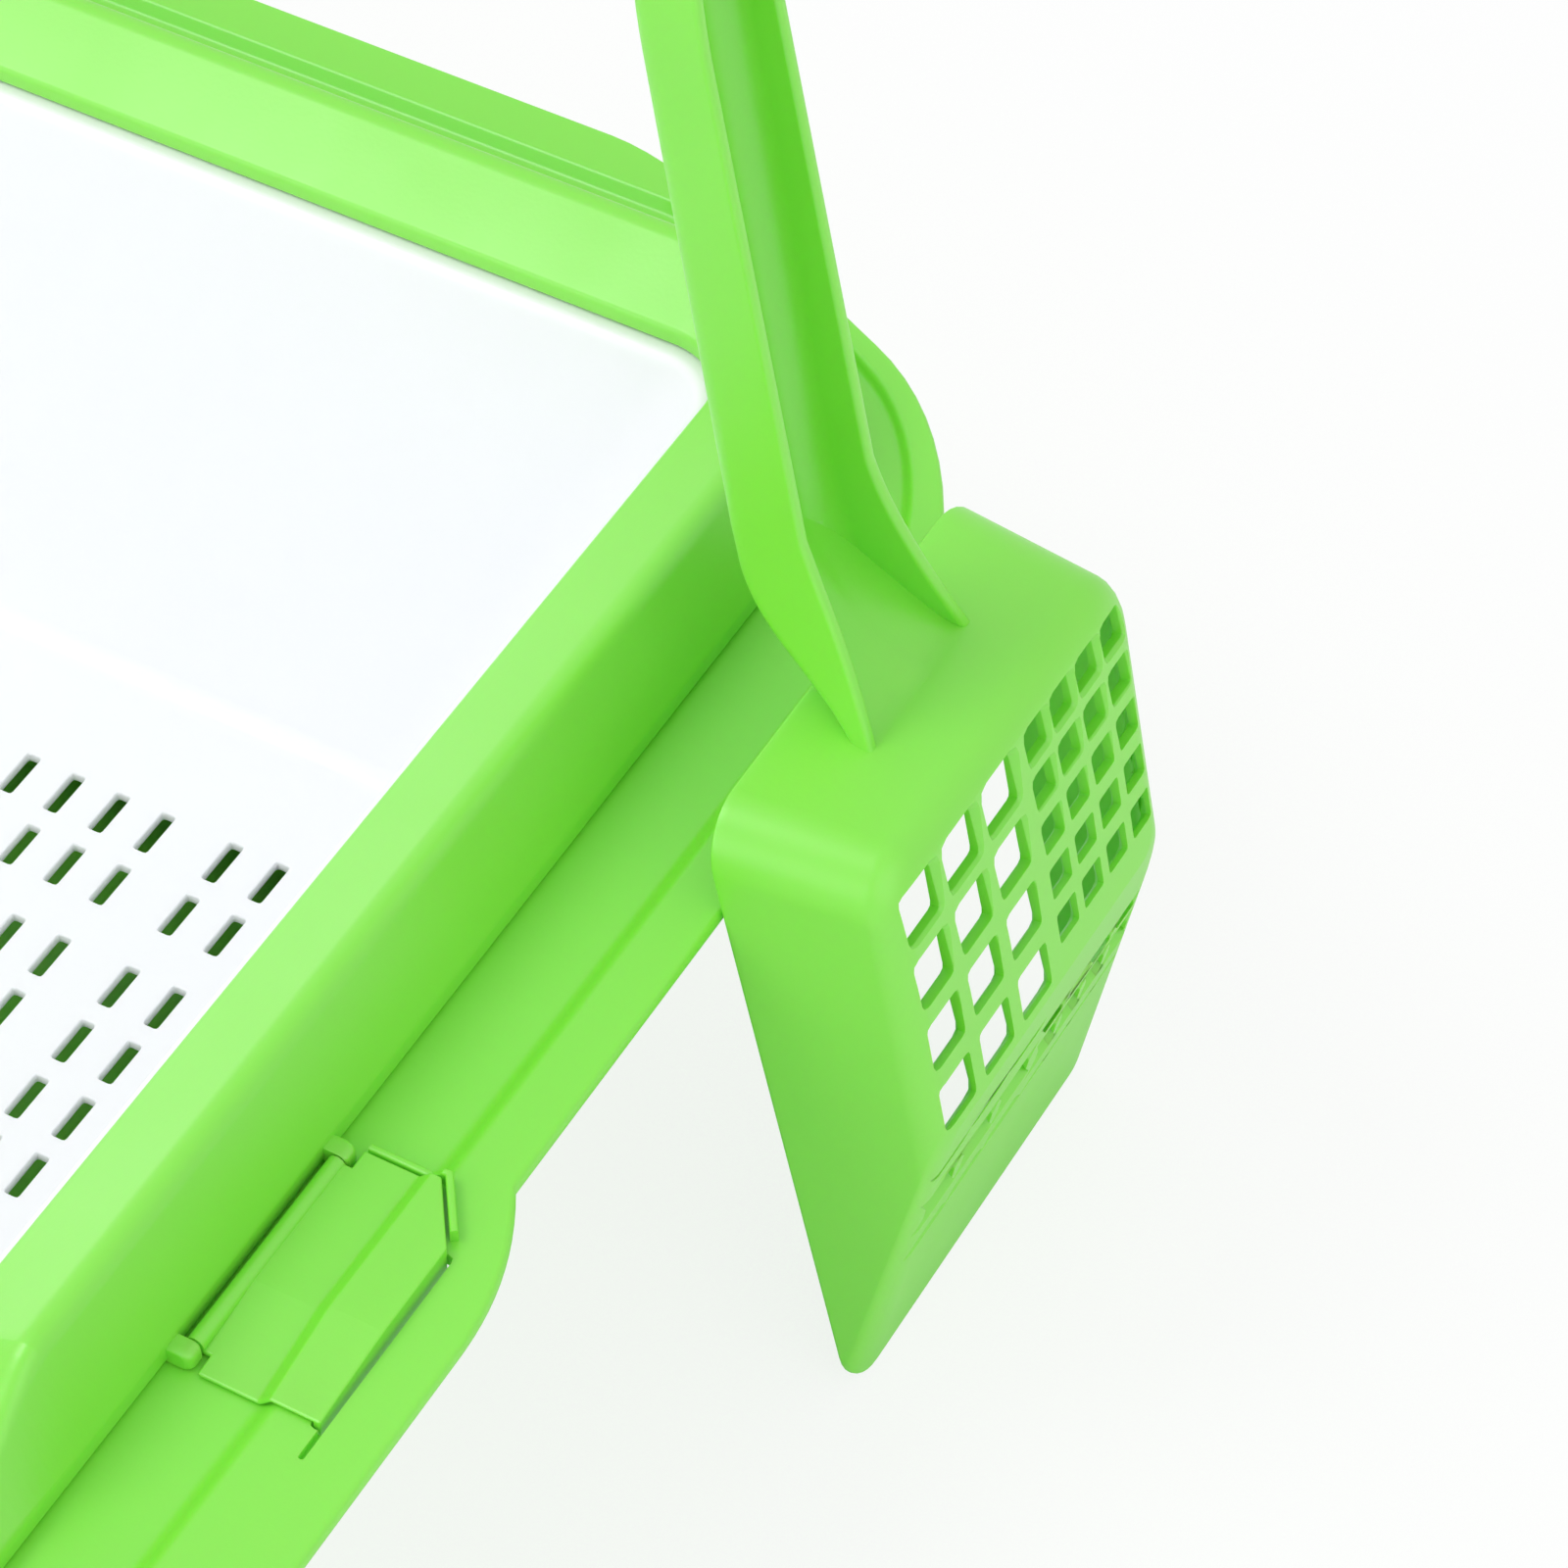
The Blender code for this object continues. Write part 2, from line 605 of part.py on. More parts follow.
def build_latch(side, parts, cutters, material):
    name = SIDE_NAMES[side]
    flap = object_from(flap_mesh(side), f"latch_{name}", parts, material)
    wedge = cutter_from(flap_corner_cutter(side), f"latch_{name}_corner_cut", cutters)
    notches = cutter_from(ear_notch_cutter(side), f"latch_{name}_notches_cut", cutters)
    barrel_builder = bmesh.new()
    add_rod(barrel_builder, LATCH_BARREL_RADIUS, (0, 0, 0), LATCH_BARREL_LENGTH)
    barrel = cutter_from(barrel_builder, f"latch_{name}_barrel", cutters)
    pin_builder = bmesh.new()
    add_rod(pin_builder, LATCH_PIN_RADIUS, (0, 0, 0), LATCH_BARREL_LENGTH + 2 * LATCH_PIN_LENGTH)
    pin = cutter_from(pin_builder, f"latch_{name}_pin", cutters)
    boolean(flap, wedge, "DIFFERENCE", "corner")
    boolean(flap, notches, "DIFFERENCE", "ear notches")
    boolean(flap, barrel, "UNION", "barrel")
    boolean(flap, pin, "UNION", "pin")
    hinge = bpy.data.objects.new(f"latch_{name}_hinge", None)
    hinge.location = hinge_middle(side)
    parts.objects.link(hinge)
    for obj in (flap, wedge, notches, barrel, pin):
        obj.parent = hinge
    return flap


# Scoop, in its own frame: X is depth away from the box, Y across, Z along from the front edge.

BLADE_CREASE_AT = BLADE_LENGTH * BLADE_CREASE_SHARE
BLADE_REAR_FOLD_AT = BLADE_LENGTH - BLADE_REAR_RUN
PANEL_SLOPE = (BLADE_DEPTH - BLADE_CREASE_DEPTH) / (BLADE_REAR_FOLD_AT - BLADE_CREASE_AT)
PANEL_START_DEPTH = BLADE_CREASE_DEPTH - PANEL_SLOPE * BLADE_CREASE_AT
RAMP_SLOPE = (BLADE_CREASE_DEPTH - BLADE_FRONT_EDGE) / BLADE_CREASE_AT
REAR_SLOPE = BLADE_DEPTH / BLADE_REAR_RUN
REAR_SHEET_ALONG = SCOOP_SHEET * math.hypot(1, REAR_SLOPE) / REAR_SLOPE
HANDLE_FOOT_AT = BLADE_LENGTH - HANDLE_FOOT_EDGE / REAR_SLOPE - REAR_SHEET_ALONG / 2
HANDLE_STRAIGHT_AT = HANDLE_FOOT_AT + HANDLE_FLARE_RUN


def level_depth(level, along):
    """Depth at a level between the plane of the rim, 0, and the upper panel's plane, 1."""
    return level * (PANEL_START_DEPTH + PANEL_SLOPE * along)


def front_at(level, sheet):
    """Where a level meets the front panel, or its inside when a sheet is given."""
    offset = BLADE_FRONT_EDGE - sheet * math.hypot(1, RAMP_SLOPE)
    return max(0, (level * PANEL_START_DEPTH - offset) / (RAMP_SLOPE - level * PANEL_SLOPE))


def rear_at(level, sheet):
    """Where a level meets the rear wall, or its inside when a sheet is given."""
    offset = sheet * math.hypot(1, REAR_SLOPE)
    return (REAR_SLOPE * BLADE_LENGTH - offset - level * PANEL_START_DEPTH) / (REAR_SLOPE + level * PANEL_SLOPE)


def blade_ring(level, sheet=0, fold_inset=0, depth=None):
    """Outline of the blade at a level, with rounded corners. A depth in its place makes it level."""
    outline_level = 0 if depth is not None else level
    half = BLADE_HALF_WIDTH - (BLADE_HALF_WIDTH - BLADE_PANEL_HALF_WIDTH) * outline_level
    half -= sheet + fold_inset
    front = front_at(outline_level, sheet)
    rear = rear_at(outline_level, sheet) - fold_inset
    front_radius = BLADE_FRONT_CORNER + (BLADE_CREASE_CORNER - BLADE_FRONT_CORNER) * outline_level - sheet / 2
    rear_radius = BLADE_REAR_CORNER - sheet - fold_inset / 2
    corners = (
        (half - front_radius, front + front_radius, front_radius, -1),
        (half - rear_radius, rear - rear_radius, rear_radius, 0),
        (rear_radius - half, rear - rear_radius, rear_radius, 1),
        (front_radius - half, front + front_radius, front_radius, 2),
    )
    points = []
    for across, along, radius, quarter in corners:
        for i in range(BLADE_CORNER_STEPS + 1):
            angle = (quarter + i / BLADE_CORNER_STEPS) * math.pi / 2
            y = across + radius * math.cos(angle)
            z = along + radius * math.sin(angle)
            points.append(Vector((level_depth(level, z) if depth is None else depth, y, z)))
    return points


def blade_levels(sheet):
    """Levels and insets of the fold round the upper panel, from where it starts to the panel."""
    radius = (BLADE_FOLD_RADIUS - sheet) / BLADE_DEPTH
    top = 1 - sheet / BLADE_DEPTH
    angles = [i / FOLD_STEPS * math.pi / 2 for i in range(FOLD_STEPS + 1)]
    return [
        (top - radius * (1 - math.sin(angle)), radius * BLADE_DEPTH * (1 - math.cos(angle)))
        for angle in angles
    ]


def closed_loft(rings):
    mesh_builder = loft(rings, filled=True)
    mesh_builder.verts.ensure_lookup_table()
    mesh_builder.faces.new(mesh_builder.verts[:len(rings[0])])
    bmesh.ops.recalc_face_normals(mesh_builder, faces=mesh_builder.faces)
    return mesh_builder


def blade_mesh():
    edge_level = BLADE_FRONT_EDGE / PANEL_START_DEPTH
    rings = [blade_ring(0), blade_ring(edge_level)]
    rings += [blade_ring(level, fold_inset=inset) for level, inset in blade_levels(0)]
    return closed_loft(rings)


def hollow_mesh():
    rings = [blade_ring(0, SCOOP_SHEET, depth=-OVERRUN), blade_ring(0, SCOOP_SHEET)]
    rings += [blade_ring(level, SCOOP_SHEET, inset) for level, inset in blade_levels(SCOOP_SHEET)]
    return closed_loft(rings)


def hole_grid(size, columns, first_across, pitch_across, pitch_along, low, high):
    """Middles of the holes of one field: as many rows as fit between two places up a panel."""
    rows = math.floor((high - low - size) / pitch_along) + 1
    return [
        (first_across + column * pitch_across, high - size / 2 - row * pitch_along)
        for column in range(columns) for row in range(rows)
    ]


def panel_frame(start, end):
    """Matrix whose Z runs up a panel from start to end, and whose X points out of it."""
    tilt = math.atan2(end.y - start.y, end.x - start.x)
    return Matrix.Translation((start.y, 0, start.x)) @ Matrix.Rotation(tilt, 4, "Y")


def hole_cutter():
    edge = Vector((0, BLADE_FRONT_EDGE))
    crease = Vector((BLADE_CREASE_AT, BLADE_CREASE_DEPTH))
    rear_fold = Vector((BLADE_REAR_FOLD_AT, BLADE_DEPTH))
    upper_high = (rear_fold - crease).length - HOLE_REAR_MARGIN
    lower_high = (crease - edge).length - HOLE_CREASE_MARGIN
    panels = (
        (panel_frame(crease, rear_fold), HOLE_CREASE_MARGIN, upper_high),
        (panel_frame(edge, crease), HOLE_FRONT_MARGIN, lower_high),
    )
    kinds = (
        (LARGE_HOLE, LARGE_COLUMNS, LARGE_FIRST_ACROSS, LARGE_PITCH_ACROSS, LARGE_PITCH_ALONG),
        (SMALL_HOLE, SMALL_COLUMNS, SMALL_FIRST_ACROSS, SMALL_PITCH_ACROSS, SMALL_PITCH_ALONG),
    )
    holes = bmesh.new()
    for matrix, panel_low, panel_high in panels:
        for kind in kinds:
            half = kind[0] / 2
            for y, z in hole_grid(*kind, panel_low, panel_high):
                low = (-SCOOP_SHEET - OVERRUN / 2, y - half, z - half)
                high = (OVERRUN / 2, y + half, z + half)
                add_box(holes, low, high, matrix)
    return holes


def between(straight, at_foot, run, rise, power=1):
    """A size of the handle at a rise above its foot: at_foot there, and straight past the run."""
    return straight + (at_foot - straight) * max(0, 1 - rise / run) ** power


def foot_sections():
    """Handle sections that flare into the rear wall: place along, half width, back, floor, edge."""
    straight_back = HANDLE_EDGE - HANDLE_DEPTH
    straight_floor = straight_back + SCOOP_SHEET
    sections = []
    for i in range(HANDLE_FOOT_STEPS + 1):
        rise = HANDLE_FLARE_RUN * i / HANDLE_FOOT_STEPS
        half = between(HANDLE_HALF_WIDTH, HANDLE_FOOT_HALF_WIDTH, HANDLE_FLARE_RUN, rise, HANDLE_FLARE_POWER)
        back = between(straight_back, HANDLE_FOOT_BACK, HANDLE_BACK_RUN, rise)
        floor = between(straight_floor, HANDLE_FOOT_EDGE, HANDLE_RAMP_RUN, rise, HANDLE_RAMP_POWER)
        edge = between(HANDLE_EDGE, HANDLE_FOOT_EDGE, HANDLE_FLARE_RUN, rise)
        sections.append((HANDLE_FOOT_AT + rise, half, back, floor, edge))
    return sections


def upper_section(along, narrowing=1):
    """Handle section above its foot, where it gets slightly narrower and shallower."""
    run = along - HANDLE_STRAIGHT_AT
    share = run / (SCOOP_LENGTH - HANDLE_STRAIGHT_AT)
    half = HANDLE_HALF_WIDTH + (HANDLE_END_HALF_WIDTH - HANDLE_HALF_WIDTH) * share
    depth = HANDLE_DEPTH + (HANDLE_END_DEPTH - HANDLE_DEPTH) * share
    edge = HANDLE_EDGE + HANDLE_TILT_SHARE * run
    return along, half * narrowing, edge - depth, edge - depth + SCOOP_SHEET, edge


def end_sections():
    """Sections of the rounded end, narrowing like an ellipse down to the width of two sheets."""
    start = SCOOP_LENGTH - HANDLE_END_REACH
    last = math.sqrt(1 - (2 * SCOOP_SHEET / HANDLE_END_HALF_WIDTH) ** 2)
    angles = [i / HANDLE_END_STEPS * math.asin(last) for i in range(HANDLE_END_STEPS + 1)]
    return [upper_section(start + HANDLE_END_REACH * math.sin(a), math.cos(a)) for a in angles]


def channel_loop(along, half, back, floor, edge):
    """One cross-section of the handle, a channel, or a full block where its floor is at its edge."""
    inner = half - SCOOP_SHEET
    return [
        Vector((back, -half, along)),
        Vector((edge, -half, along)),
        Vector((edge, -inner, along)),
        Vector((floor, -inner, along)),
        Vector((floor, inner, along)),
        Vector((edge, inner, along)),
        Vector((edge, half, along)),
        Vector((back, half, along)),
    ]


def handle_mesh():
    ends = end_sections()
    loops = [channel_loop(*section) for section in foot_sections() + ends]
    along, half, back, _, edge = ends[-1]
    loops.append(channel_loop(along, half, back, edge, edge))
    loops.append(channel_loop(SCOOP_LENGTH, half - SCOOP_SHEET / 2, back, edge, edge))
    mesh_builder = closed_loft(loops)
    bmesh.ops.remove_doubles(mesh_builder, verts=mesh_builder.verts, dist=FIT_GAP / ROUND_SIDES)
    return mesh_builder


def build_scoop(parts, cutters, material):
    scoop = object_from(blade_mesh(), "scoop", parts, material)
    handle = cutter_from(handle_mesh(), "scoop_handle", cutters)
    hollow_cut = cutter_from(hollow_mesh(), "scoop_hollow_cut", cutters)
    holes = cutter_from(hole_cutter(), "scoop_holes_cut", cutters)
    boolean(scoop, handle, "UNION", "handle")
    boolean(scoop, hollow_cut, "DIFFERENCE", "hollow")
    boolean(scoop, holes, "DIFFERENCE", "holes")
    stand = bpy.data.objects.new("scoop_stand", None)
    stand.location = (BOX_WIDTH / 2 + RIM_CONTACT, BOX_LENGTH / 2 - SCOOP_FROM_BACK, FIT_GAP)
    stand.rotation_euler = (0, -SCOOP_LEAN, 0)
    parts.objects.link(stand)
    for obj in (scoop, handle, hollow_cut, holes):
        obj.parent = stand
    return scoop


def main():
    clear_scene()
    parts = new_collection("litter_box")
    cutters = new_collection("cutters")
    green = plastic("green_plastic", (0.26, 0.75, 0.10), 0.38)
    white = plastic("white_plastic", (0.86, 0.89, 0.91), 0.35)
    build_base_tray(parts, cutters, green)
    build_sieve_tray(parts, cutters, white)
    build_top_frame(parts, cutters, green)
    for side in SIDE_NAMES:
        build_latch(side, parts, cutters, green)
    build_scoop(parts, cutters, green)


main()
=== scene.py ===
"""Looks of the open-top litter box: rounded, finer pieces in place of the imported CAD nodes, with their
moulded plastics, a pale floor, soft studio light and the photo's camera.

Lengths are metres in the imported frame: +Z up, +Y to the high back, +X to the side with the scoop.
"""

import logging
import math
from dataclasses import asdict, dataclass, fields
from enum import Enum
from typing import Any

import bmesh
import bpy
from mathutils import Matrix, Vector

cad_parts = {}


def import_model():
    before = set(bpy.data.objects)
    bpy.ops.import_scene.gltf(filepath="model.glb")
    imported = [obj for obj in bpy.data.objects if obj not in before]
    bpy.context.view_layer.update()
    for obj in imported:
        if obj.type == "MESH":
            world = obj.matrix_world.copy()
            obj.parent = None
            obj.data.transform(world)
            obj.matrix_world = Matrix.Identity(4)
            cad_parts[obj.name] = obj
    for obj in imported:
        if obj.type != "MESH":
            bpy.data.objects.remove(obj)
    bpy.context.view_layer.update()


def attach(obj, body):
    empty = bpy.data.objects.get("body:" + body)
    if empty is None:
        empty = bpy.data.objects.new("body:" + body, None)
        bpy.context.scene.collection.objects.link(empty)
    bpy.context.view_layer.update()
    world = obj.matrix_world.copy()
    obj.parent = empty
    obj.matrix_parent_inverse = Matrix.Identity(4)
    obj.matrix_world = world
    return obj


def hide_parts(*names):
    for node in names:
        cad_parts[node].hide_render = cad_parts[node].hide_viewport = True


LOG = logging.getLogger("litter_box")

Outline = list[Vector]
Pairs = list[tuple[float, float]]
Spot = tuple[float, float, float]
Object = bpy.types.Object
Material = bpy.types.Material

# The sRGB curve: straight up to its bend, then a power.
SRGB_BEND, SRGB_SLOPE, SRGB_OFFSET, SRGB_POWER = 0.04045, 12.92, 0.055, 2.4
WHITE = "#FFFFFF"
# Colour sockets of the Mix node, whose names stand for several kinds of value.
MIX_COLORS, MIX_RESULT = (6, 7), 2

SAME_POINT = 1e-6  # Points nearer to each other than this are merged.
NO_LENGTH = 1e-7  # A shorter side has no corner to round.
NO_BLEND = 1e-6
PLACE_DIGITS = 6  # Places along the box are told apart to a thousandth of a millimetre.
CORNER_SHARE = 0.46  # Most of a side that one of its rounded corners takes.
EDGE_STEPS = 4
HOLE_CORNER_STEPS = 2
HOLE_EDGE_MIDDLE = 0.3  # Where a hole's softened edge passes the sheet's face, as a share of its width.
ROD_SIDES = 48
BOTH_ENDS = (-1, 1)


class Slot(Enum):
    """Material slots that the pieces are listed with."""

    GREEN = "green_plastic"
    WHITE = "white_plastic"


class Side(Enum):
    """Long sides of the box, with the sign of X there."""

    RIGHT = 1
    LEFT = -1


# Node helpers.


def linear_color(hex_color: str) -> tuple[float, float, float, float]:
    """Turns an sRGB hex colour into linear RGBA.

    Args:
        hex_color: six hex digits after a hash sign.

    Returns:
        Linear red, green and blue, and an alpha of one.
    """
    levels = [int(hex_color[i : i + 2], 16) / 255 for i in (1, 3, 5)]
    red, green, blue = (
        level / SRGB_SLOPE
        if level <= SRGB_BEND
        else ((level + SRGB_OFFSET) / (1 + SRGB_OFFSET)) ** SRGB_POWER
        for level in levels
    )
    return red, green, blue, 1.0


def add_node(tree: bpy.types.NodeTree, kind: str, inputs: dict[Any, Any], **settings: Any) -> bpy.types.Node:
    """Adds one node, sets it up and wires it.

    Args:
        tree: node tree of a material, a world or a geometry group.
        kind: the node's type name.
        inputs: input name or index, and the constant or the output socket it gets.
        settings: properties of the node itself.

    Returns:
        The new node.
    """
    node = tree.nodes.new(kind)
    for name, value in settings.items():
        setattr(node, name, value)
    for key, value in inputs.items():
        if isinstance(value, bpy.types.NodeSocket):
            tree.links.new(value, node.inputs[key])
        else:
            node.inputs[key].default_value = value
    return node


# Finishes.


@dataclass(frozen=True)
class MouldedPlastic:
    """Injection-moulded polypropylene with a satin tool surface.

    The base colour is mottled a little where the melt flowed, light sinks a short way in and softens
    the shading, and a fine grain of the steel tool spreads the highlights. The gloss is how strongly
    the surface mirrors, beside plain plastic. A pitch is the size of a pattern's spots. The real grain
    is finer than a tenth of a millimetre, and it is drawn at 0.7 mm so that it shows.
    """

    name: str
    color: str
    flow_color: str
    roughness: float
    glow_share: float
    glow_depth: float
    gloss: float
    refraction: float = 1.49
    flow_pitch: float = 0.060
    flow_detail: float = 2.0
    polish_pitch: float = 0.018
    polish_detail: float = 3.0
    polish_spread: float = 0.05
    grain_pitch: float = 0.0007
    grain_detail: float = 1.0
    grain_height: float = 0.000012

    def material(self) -> Material:
        """Builds the material.

        Returns:
            The material, with its patterns in the piece's own coordinates.
        """
        material = bpy.data.materials.new(self.name)
        material.use_nodes = True
        tree = material.node_tree
        place = add_node(tree, "ShaderNodeTexCoord", {}).outputs["Object"]
        patterns = (
            (self.flow_pitch, self.flow_detail),
            (self.polish_pitch, self.polish_detail),
            (self.grain_pitch, self.grain_detail),
        )
        flow, polish, grain = (
            add_node(
                tree, "ShaderNodeTexNoise", {"Vector": place, "Scale": 1 / pitch, "Detail": detail}
            ).outputs["Fac"]
            for pitch, detail in patterns
        )
        colors = dict(zip(MIX_COLORS, (linear_color(self.color), linear_color(self.flow_color))))
        mottled = add_node(tree, "ShaderNodeMix", {"Factor": flow, **colors}, data_type="RGBA")
        spread = {
            "To Min": self.roughness - self.polish_spread,
            "To Max": self.roughness + self.polish_spread,
        }
        roughness = add_node(tree, "ShaderNodeMapRange", {"Value": polish, **spread})
        bump = add_node(tree, "ShaderNodeBump", {"Height": grain, "Distance": self.grain_height})
        shader = tree.nodes["Principled BSDF"]
        tree.links.new(mottled.outputs[MIX_RESULT], shader.inputs["Base Color"])
        tree.links.new(roughness.outputs["Result"], shader.inputs["Roughness"])
        tree.links.new(bump.outputs["Normal"], shader.inputs["Normal"])
        constants = {
            "IOR": self.refraction,
            "Specular IOR Level": self.gloss,
            "Subsurface Weight": self.glow_share,
            "Subsurface Scale": self.glow_depth,
            "Subsurface Radius": linear_color(self.color)[:3],
        }
        for name, value in constants.items():
            shader.inputs[name].default_value = value
        return material


# Opaque green polypropylene, moulded in a satin tool: soft broad highlights on the folds and a bright
# green that goes a little yellower and deeper where light bounces between the walls.
GREEN_PLASTIC = MouldedPlastic(
    name="green_satin_polypropylene",
    color="#80E03C",
    flow_color="#88E546",
    roughness=0.37,
    glow_share=0.30,
    glow_depth=0.004,
    gloss=1.0,
)
# White polypropylene, moulded in the same kind of tool: cool and milky, with edges that glow faintly
# because light sinks further in, and weaker highlights than the green has.
WHITE_PLASTIC = MouldedPlastic(
    name="white_satin_polypropylene",
    color="#F6F8FC",
    flow_color="#F8FAFD",
    roughness=0.38,
    glow_share=0.35,
    glow_depth=0.005,
    gloss=0.8,
)


# Outlines.


def shares(steps: int) -> list[float]:
    """Returns even shares from 0 to 1, both included."""
    return [i / steps for i in range(steps + 1)]


def quarter_turn(steps: int) -> list[float]:
    """Returns even angles from 0 to a right angle, both included."""
    return [share * math.pi / 2 for share in shares(steps)]


def eased(share: float) -> float:
    """Returns a share from 0 to 1 that starts and ends gently."""
    share = min(max(share, 0.0), 1.0)
    return share * share * (3 - 2 * share)


def rectangle(low_x: float, low_y: float, high_x: float, high_y: float) -> Pairs:
    """Returns the corners of a rectangle."""
    return [(low_x, low_y), (high_x, low_y), (high_x, high_y), (low_x, high_y)]


def curve(points: Outline, steps: int) -> Outline:
    """Samples a smooth curve.

    Args:
        points: three or four control points.
        steps: number of equal steps from the first to the last.

    Returns:
        The points along it, both ends included.
    """
    sampled = []
    for share in shares(steps):
        line = list(points)
        while len(line) > 1:
            line = [a.lerp(b, share) for a, b in zip(line, line[1:])]
        sampled.append(line[0])
    return sampled


def rounded(points: Outline, radii: list[float], steps: int, closed: bool = False) -> Outline:
    """Rounds the corners of a line.

    Args:
        points: the line's corners.
        radii: one radius for each corner.
        steps: steps round each corner.
        closed: whether the line comes back to its start.

    Returns:
        The rounded line, which has the same number of points for any line of as many corners.
    """
    count = len(points)
    line = []
    for i, (point, radius) in enumerate(zip(points, radii)):
        if not closed and i in (0, count - 1):
            line.append(point)
            continue
        back = points[i - 1] - point
        ahead = points[(i + 1) % count] - point
        if radius == 0 or min(back.length, ahead.length) < NO_LENGTH:
            line += [point] * (steps + 1)
            continue
        turn = math.pi - back.angle(ahead)
        reach = min(radius * math.tan(turn / 2), CORNER_SHARE * back.length, CORNER_SHARE * ahead.length)
        line += curve([point + back.normalized() * reach, point, point + ahead.normalized() * reach], steps)
    return line


# Solids.


def object_from(skin: bmesh.types.BMesh, name: str, finish: Material | None = None) -> Object:
    """Makes an object of a skin.

    Args:
        skin: the mesh being built, which is freed.
        name: name of the object.
        finish: its material, when it has one.

    Returns:
        The object, linked to the scene.
    """
    mesh = bpy.data.meshes.new(name)
    skin.to_mesh(mesh)
    skin.free()
    if finish:
        mesh.materials.append(finish)
    obj = bpy.data.objects.new(name, mesh)
    bpy.context.scene.collection.objects.link(obj)
    return obj


def solid(rows: list[Outline], name: str, finish: Material | None = None, capped: bool = True) -> Object:
    """Makes a solid of rows of points.

    Args:
        rows: closed outlines of as many points each.
        name: name of the object.
        finish: its material, when it has one.
        capped: whether the first and last rows are filled, or else joined to each other.

    Returns:
        The object, with its doubles merged and its faces outwards.
    """
    skin = bmesh.new()
    made = [[skin.verts.new(point) for point in row] for row in rows]
    for lower, upper in zip(made, made[1:] if capped else made[1:] + made[:1]):
        for i in range(len(lower)):
            j = (i + 1) % len(lower)
            skin.faces.new((lower[i], lower[j], upper[j], upper[i]))
    if capped:
        skin.faces.new(made[0])
        skin.faces.new(made[-1])
    bmesh.ops.remove_doubles(skin, verts=skin.verts, dist=SAME_POINT)
    bmesh.ops.recalc_face_normals(skin, faces=skin.faces)
    return object_from(skin, name, finish)


def rod(radius: float, middle: Vector, length: float) -> Object:
    """Builds a round rod along Y.

    Args:
        radius: its radius.
        middle: its middle.
        length: its length.

    Returns:
        The rod.
    """
    turns = [i / ROD_SIDES * math.tau for i in range(ROD_SIDES)]
    circle = [(middle.x + radius * math.cos(turn), middle.z + radius * math.sin(turn)) for turn in turns]
    ends = [middle.y + end * length / 2 for end in BOTH_ENDS]
    return solid([[Vector((x, y, z)) for x, z in circle] for y in ends], "rod")


def paint(obj: Object, finish: Material) -> None:
    """Gives a whole object one finish."""
    obj.data.materials.clear()
    obj.data.materials.append(finish)


def shade(mesh: bpy.types.Mesh, sharp_degrees: float) -> None:
    """Shades a mesh smooth, except over sharp edges.

    Args:
        mesh: the mesh.
        sharp_degrees: the angle from which an edge is sharp.
    """
    skin = bmesh.new()
    skin.from_mesh(mesh)
    for face in skin.faces:
        face.smooth = True
    for edge in skin.edges:
        edge.smooth = edge.calc_face_angle(0.0) < math.radians(sharp_degrees)
    skin.to_mesh(mesh)
    skin.free()


def settle(obj: Object) -> None:
    """Turns an object with modifiers into a plain mesh.

    Args:
        obj: the object, which keeps its name.
    """
    graph = bpy.context.evaluated_depsgraph_get()
    mesh = bpy.data.meshes.new_from_object(obj.evaluated_get(graph), depsgraph=graph)
    mesh.name = obj.name
    obj.modifiers.clear()
    obj.data = mesh


def join(obj: Object, other: Object, operation: str) -> None:
    """Joins one solid to another, for good, and removes it.

    Args:
        obj: the solid that stays.
        other: the solid that is used up.
        operation: UNION, DIFFERENCE or INTERSECT.
    """
    modifier = obj.modifiers.new("join", "BOOLEAN")
    modifier.object = other
    modifier.operation = operation
    modifier.solver = "EXACT"
    settle(obj)
    bpy.data.objects.remove(other)


def cutter(
    half_x: float, half_y: float, sheet: float, corner: float, edge: float, over: float, blind: bool = False
) -> Object:
    """Builds the tool that cuts one hole with softened edges through a sheet whose top is at zero.

    Args:
        half_x: half the hole's width.
        half_y: half its length.
        sheet: thickness that it goes through.
        corner: radius of the hole's corners.
        edge: how much both of its edges are softened.
        over: how far the tool stands past the sheet.
        blind: whether the hole ends at the sheet's depth as a groove does, and doesn't go through.

    Returns:
        The tool, which isn't shown.
    """
    middle = HOLE_EDGE_MIDDLE * edge
    levels = [(over, over + edge), (-middle, middle), (-edge, 0.0)]
    if blind:
        levels += [(edge - sheet, 0.0), (-sheet, -edge)]
    else:
        levels += [(-sheet - z, wider) for z, wider in reversed(levels)]
    rows = []
    for z, wider in levels:
        x, y = half_x + wider, half_y + wider
        corners = [Vector((x, -y, z)), Vector((x, y, z)), Vector((-x, y, z)), Vector((-x, -y, z))]
        rows.append(rounded(corners, [corner + wider] * 4, HOLE_CORNER_STEPS, closed=True))
    tool = solid(rows, "hole_tool")
    tool.hide_render = True
    return tool


# Fields of holes.


def label(name: str) -> str:
    """Returns the label of the socket that a size of this name goes to."""
    return name.replace("_", " ").title()


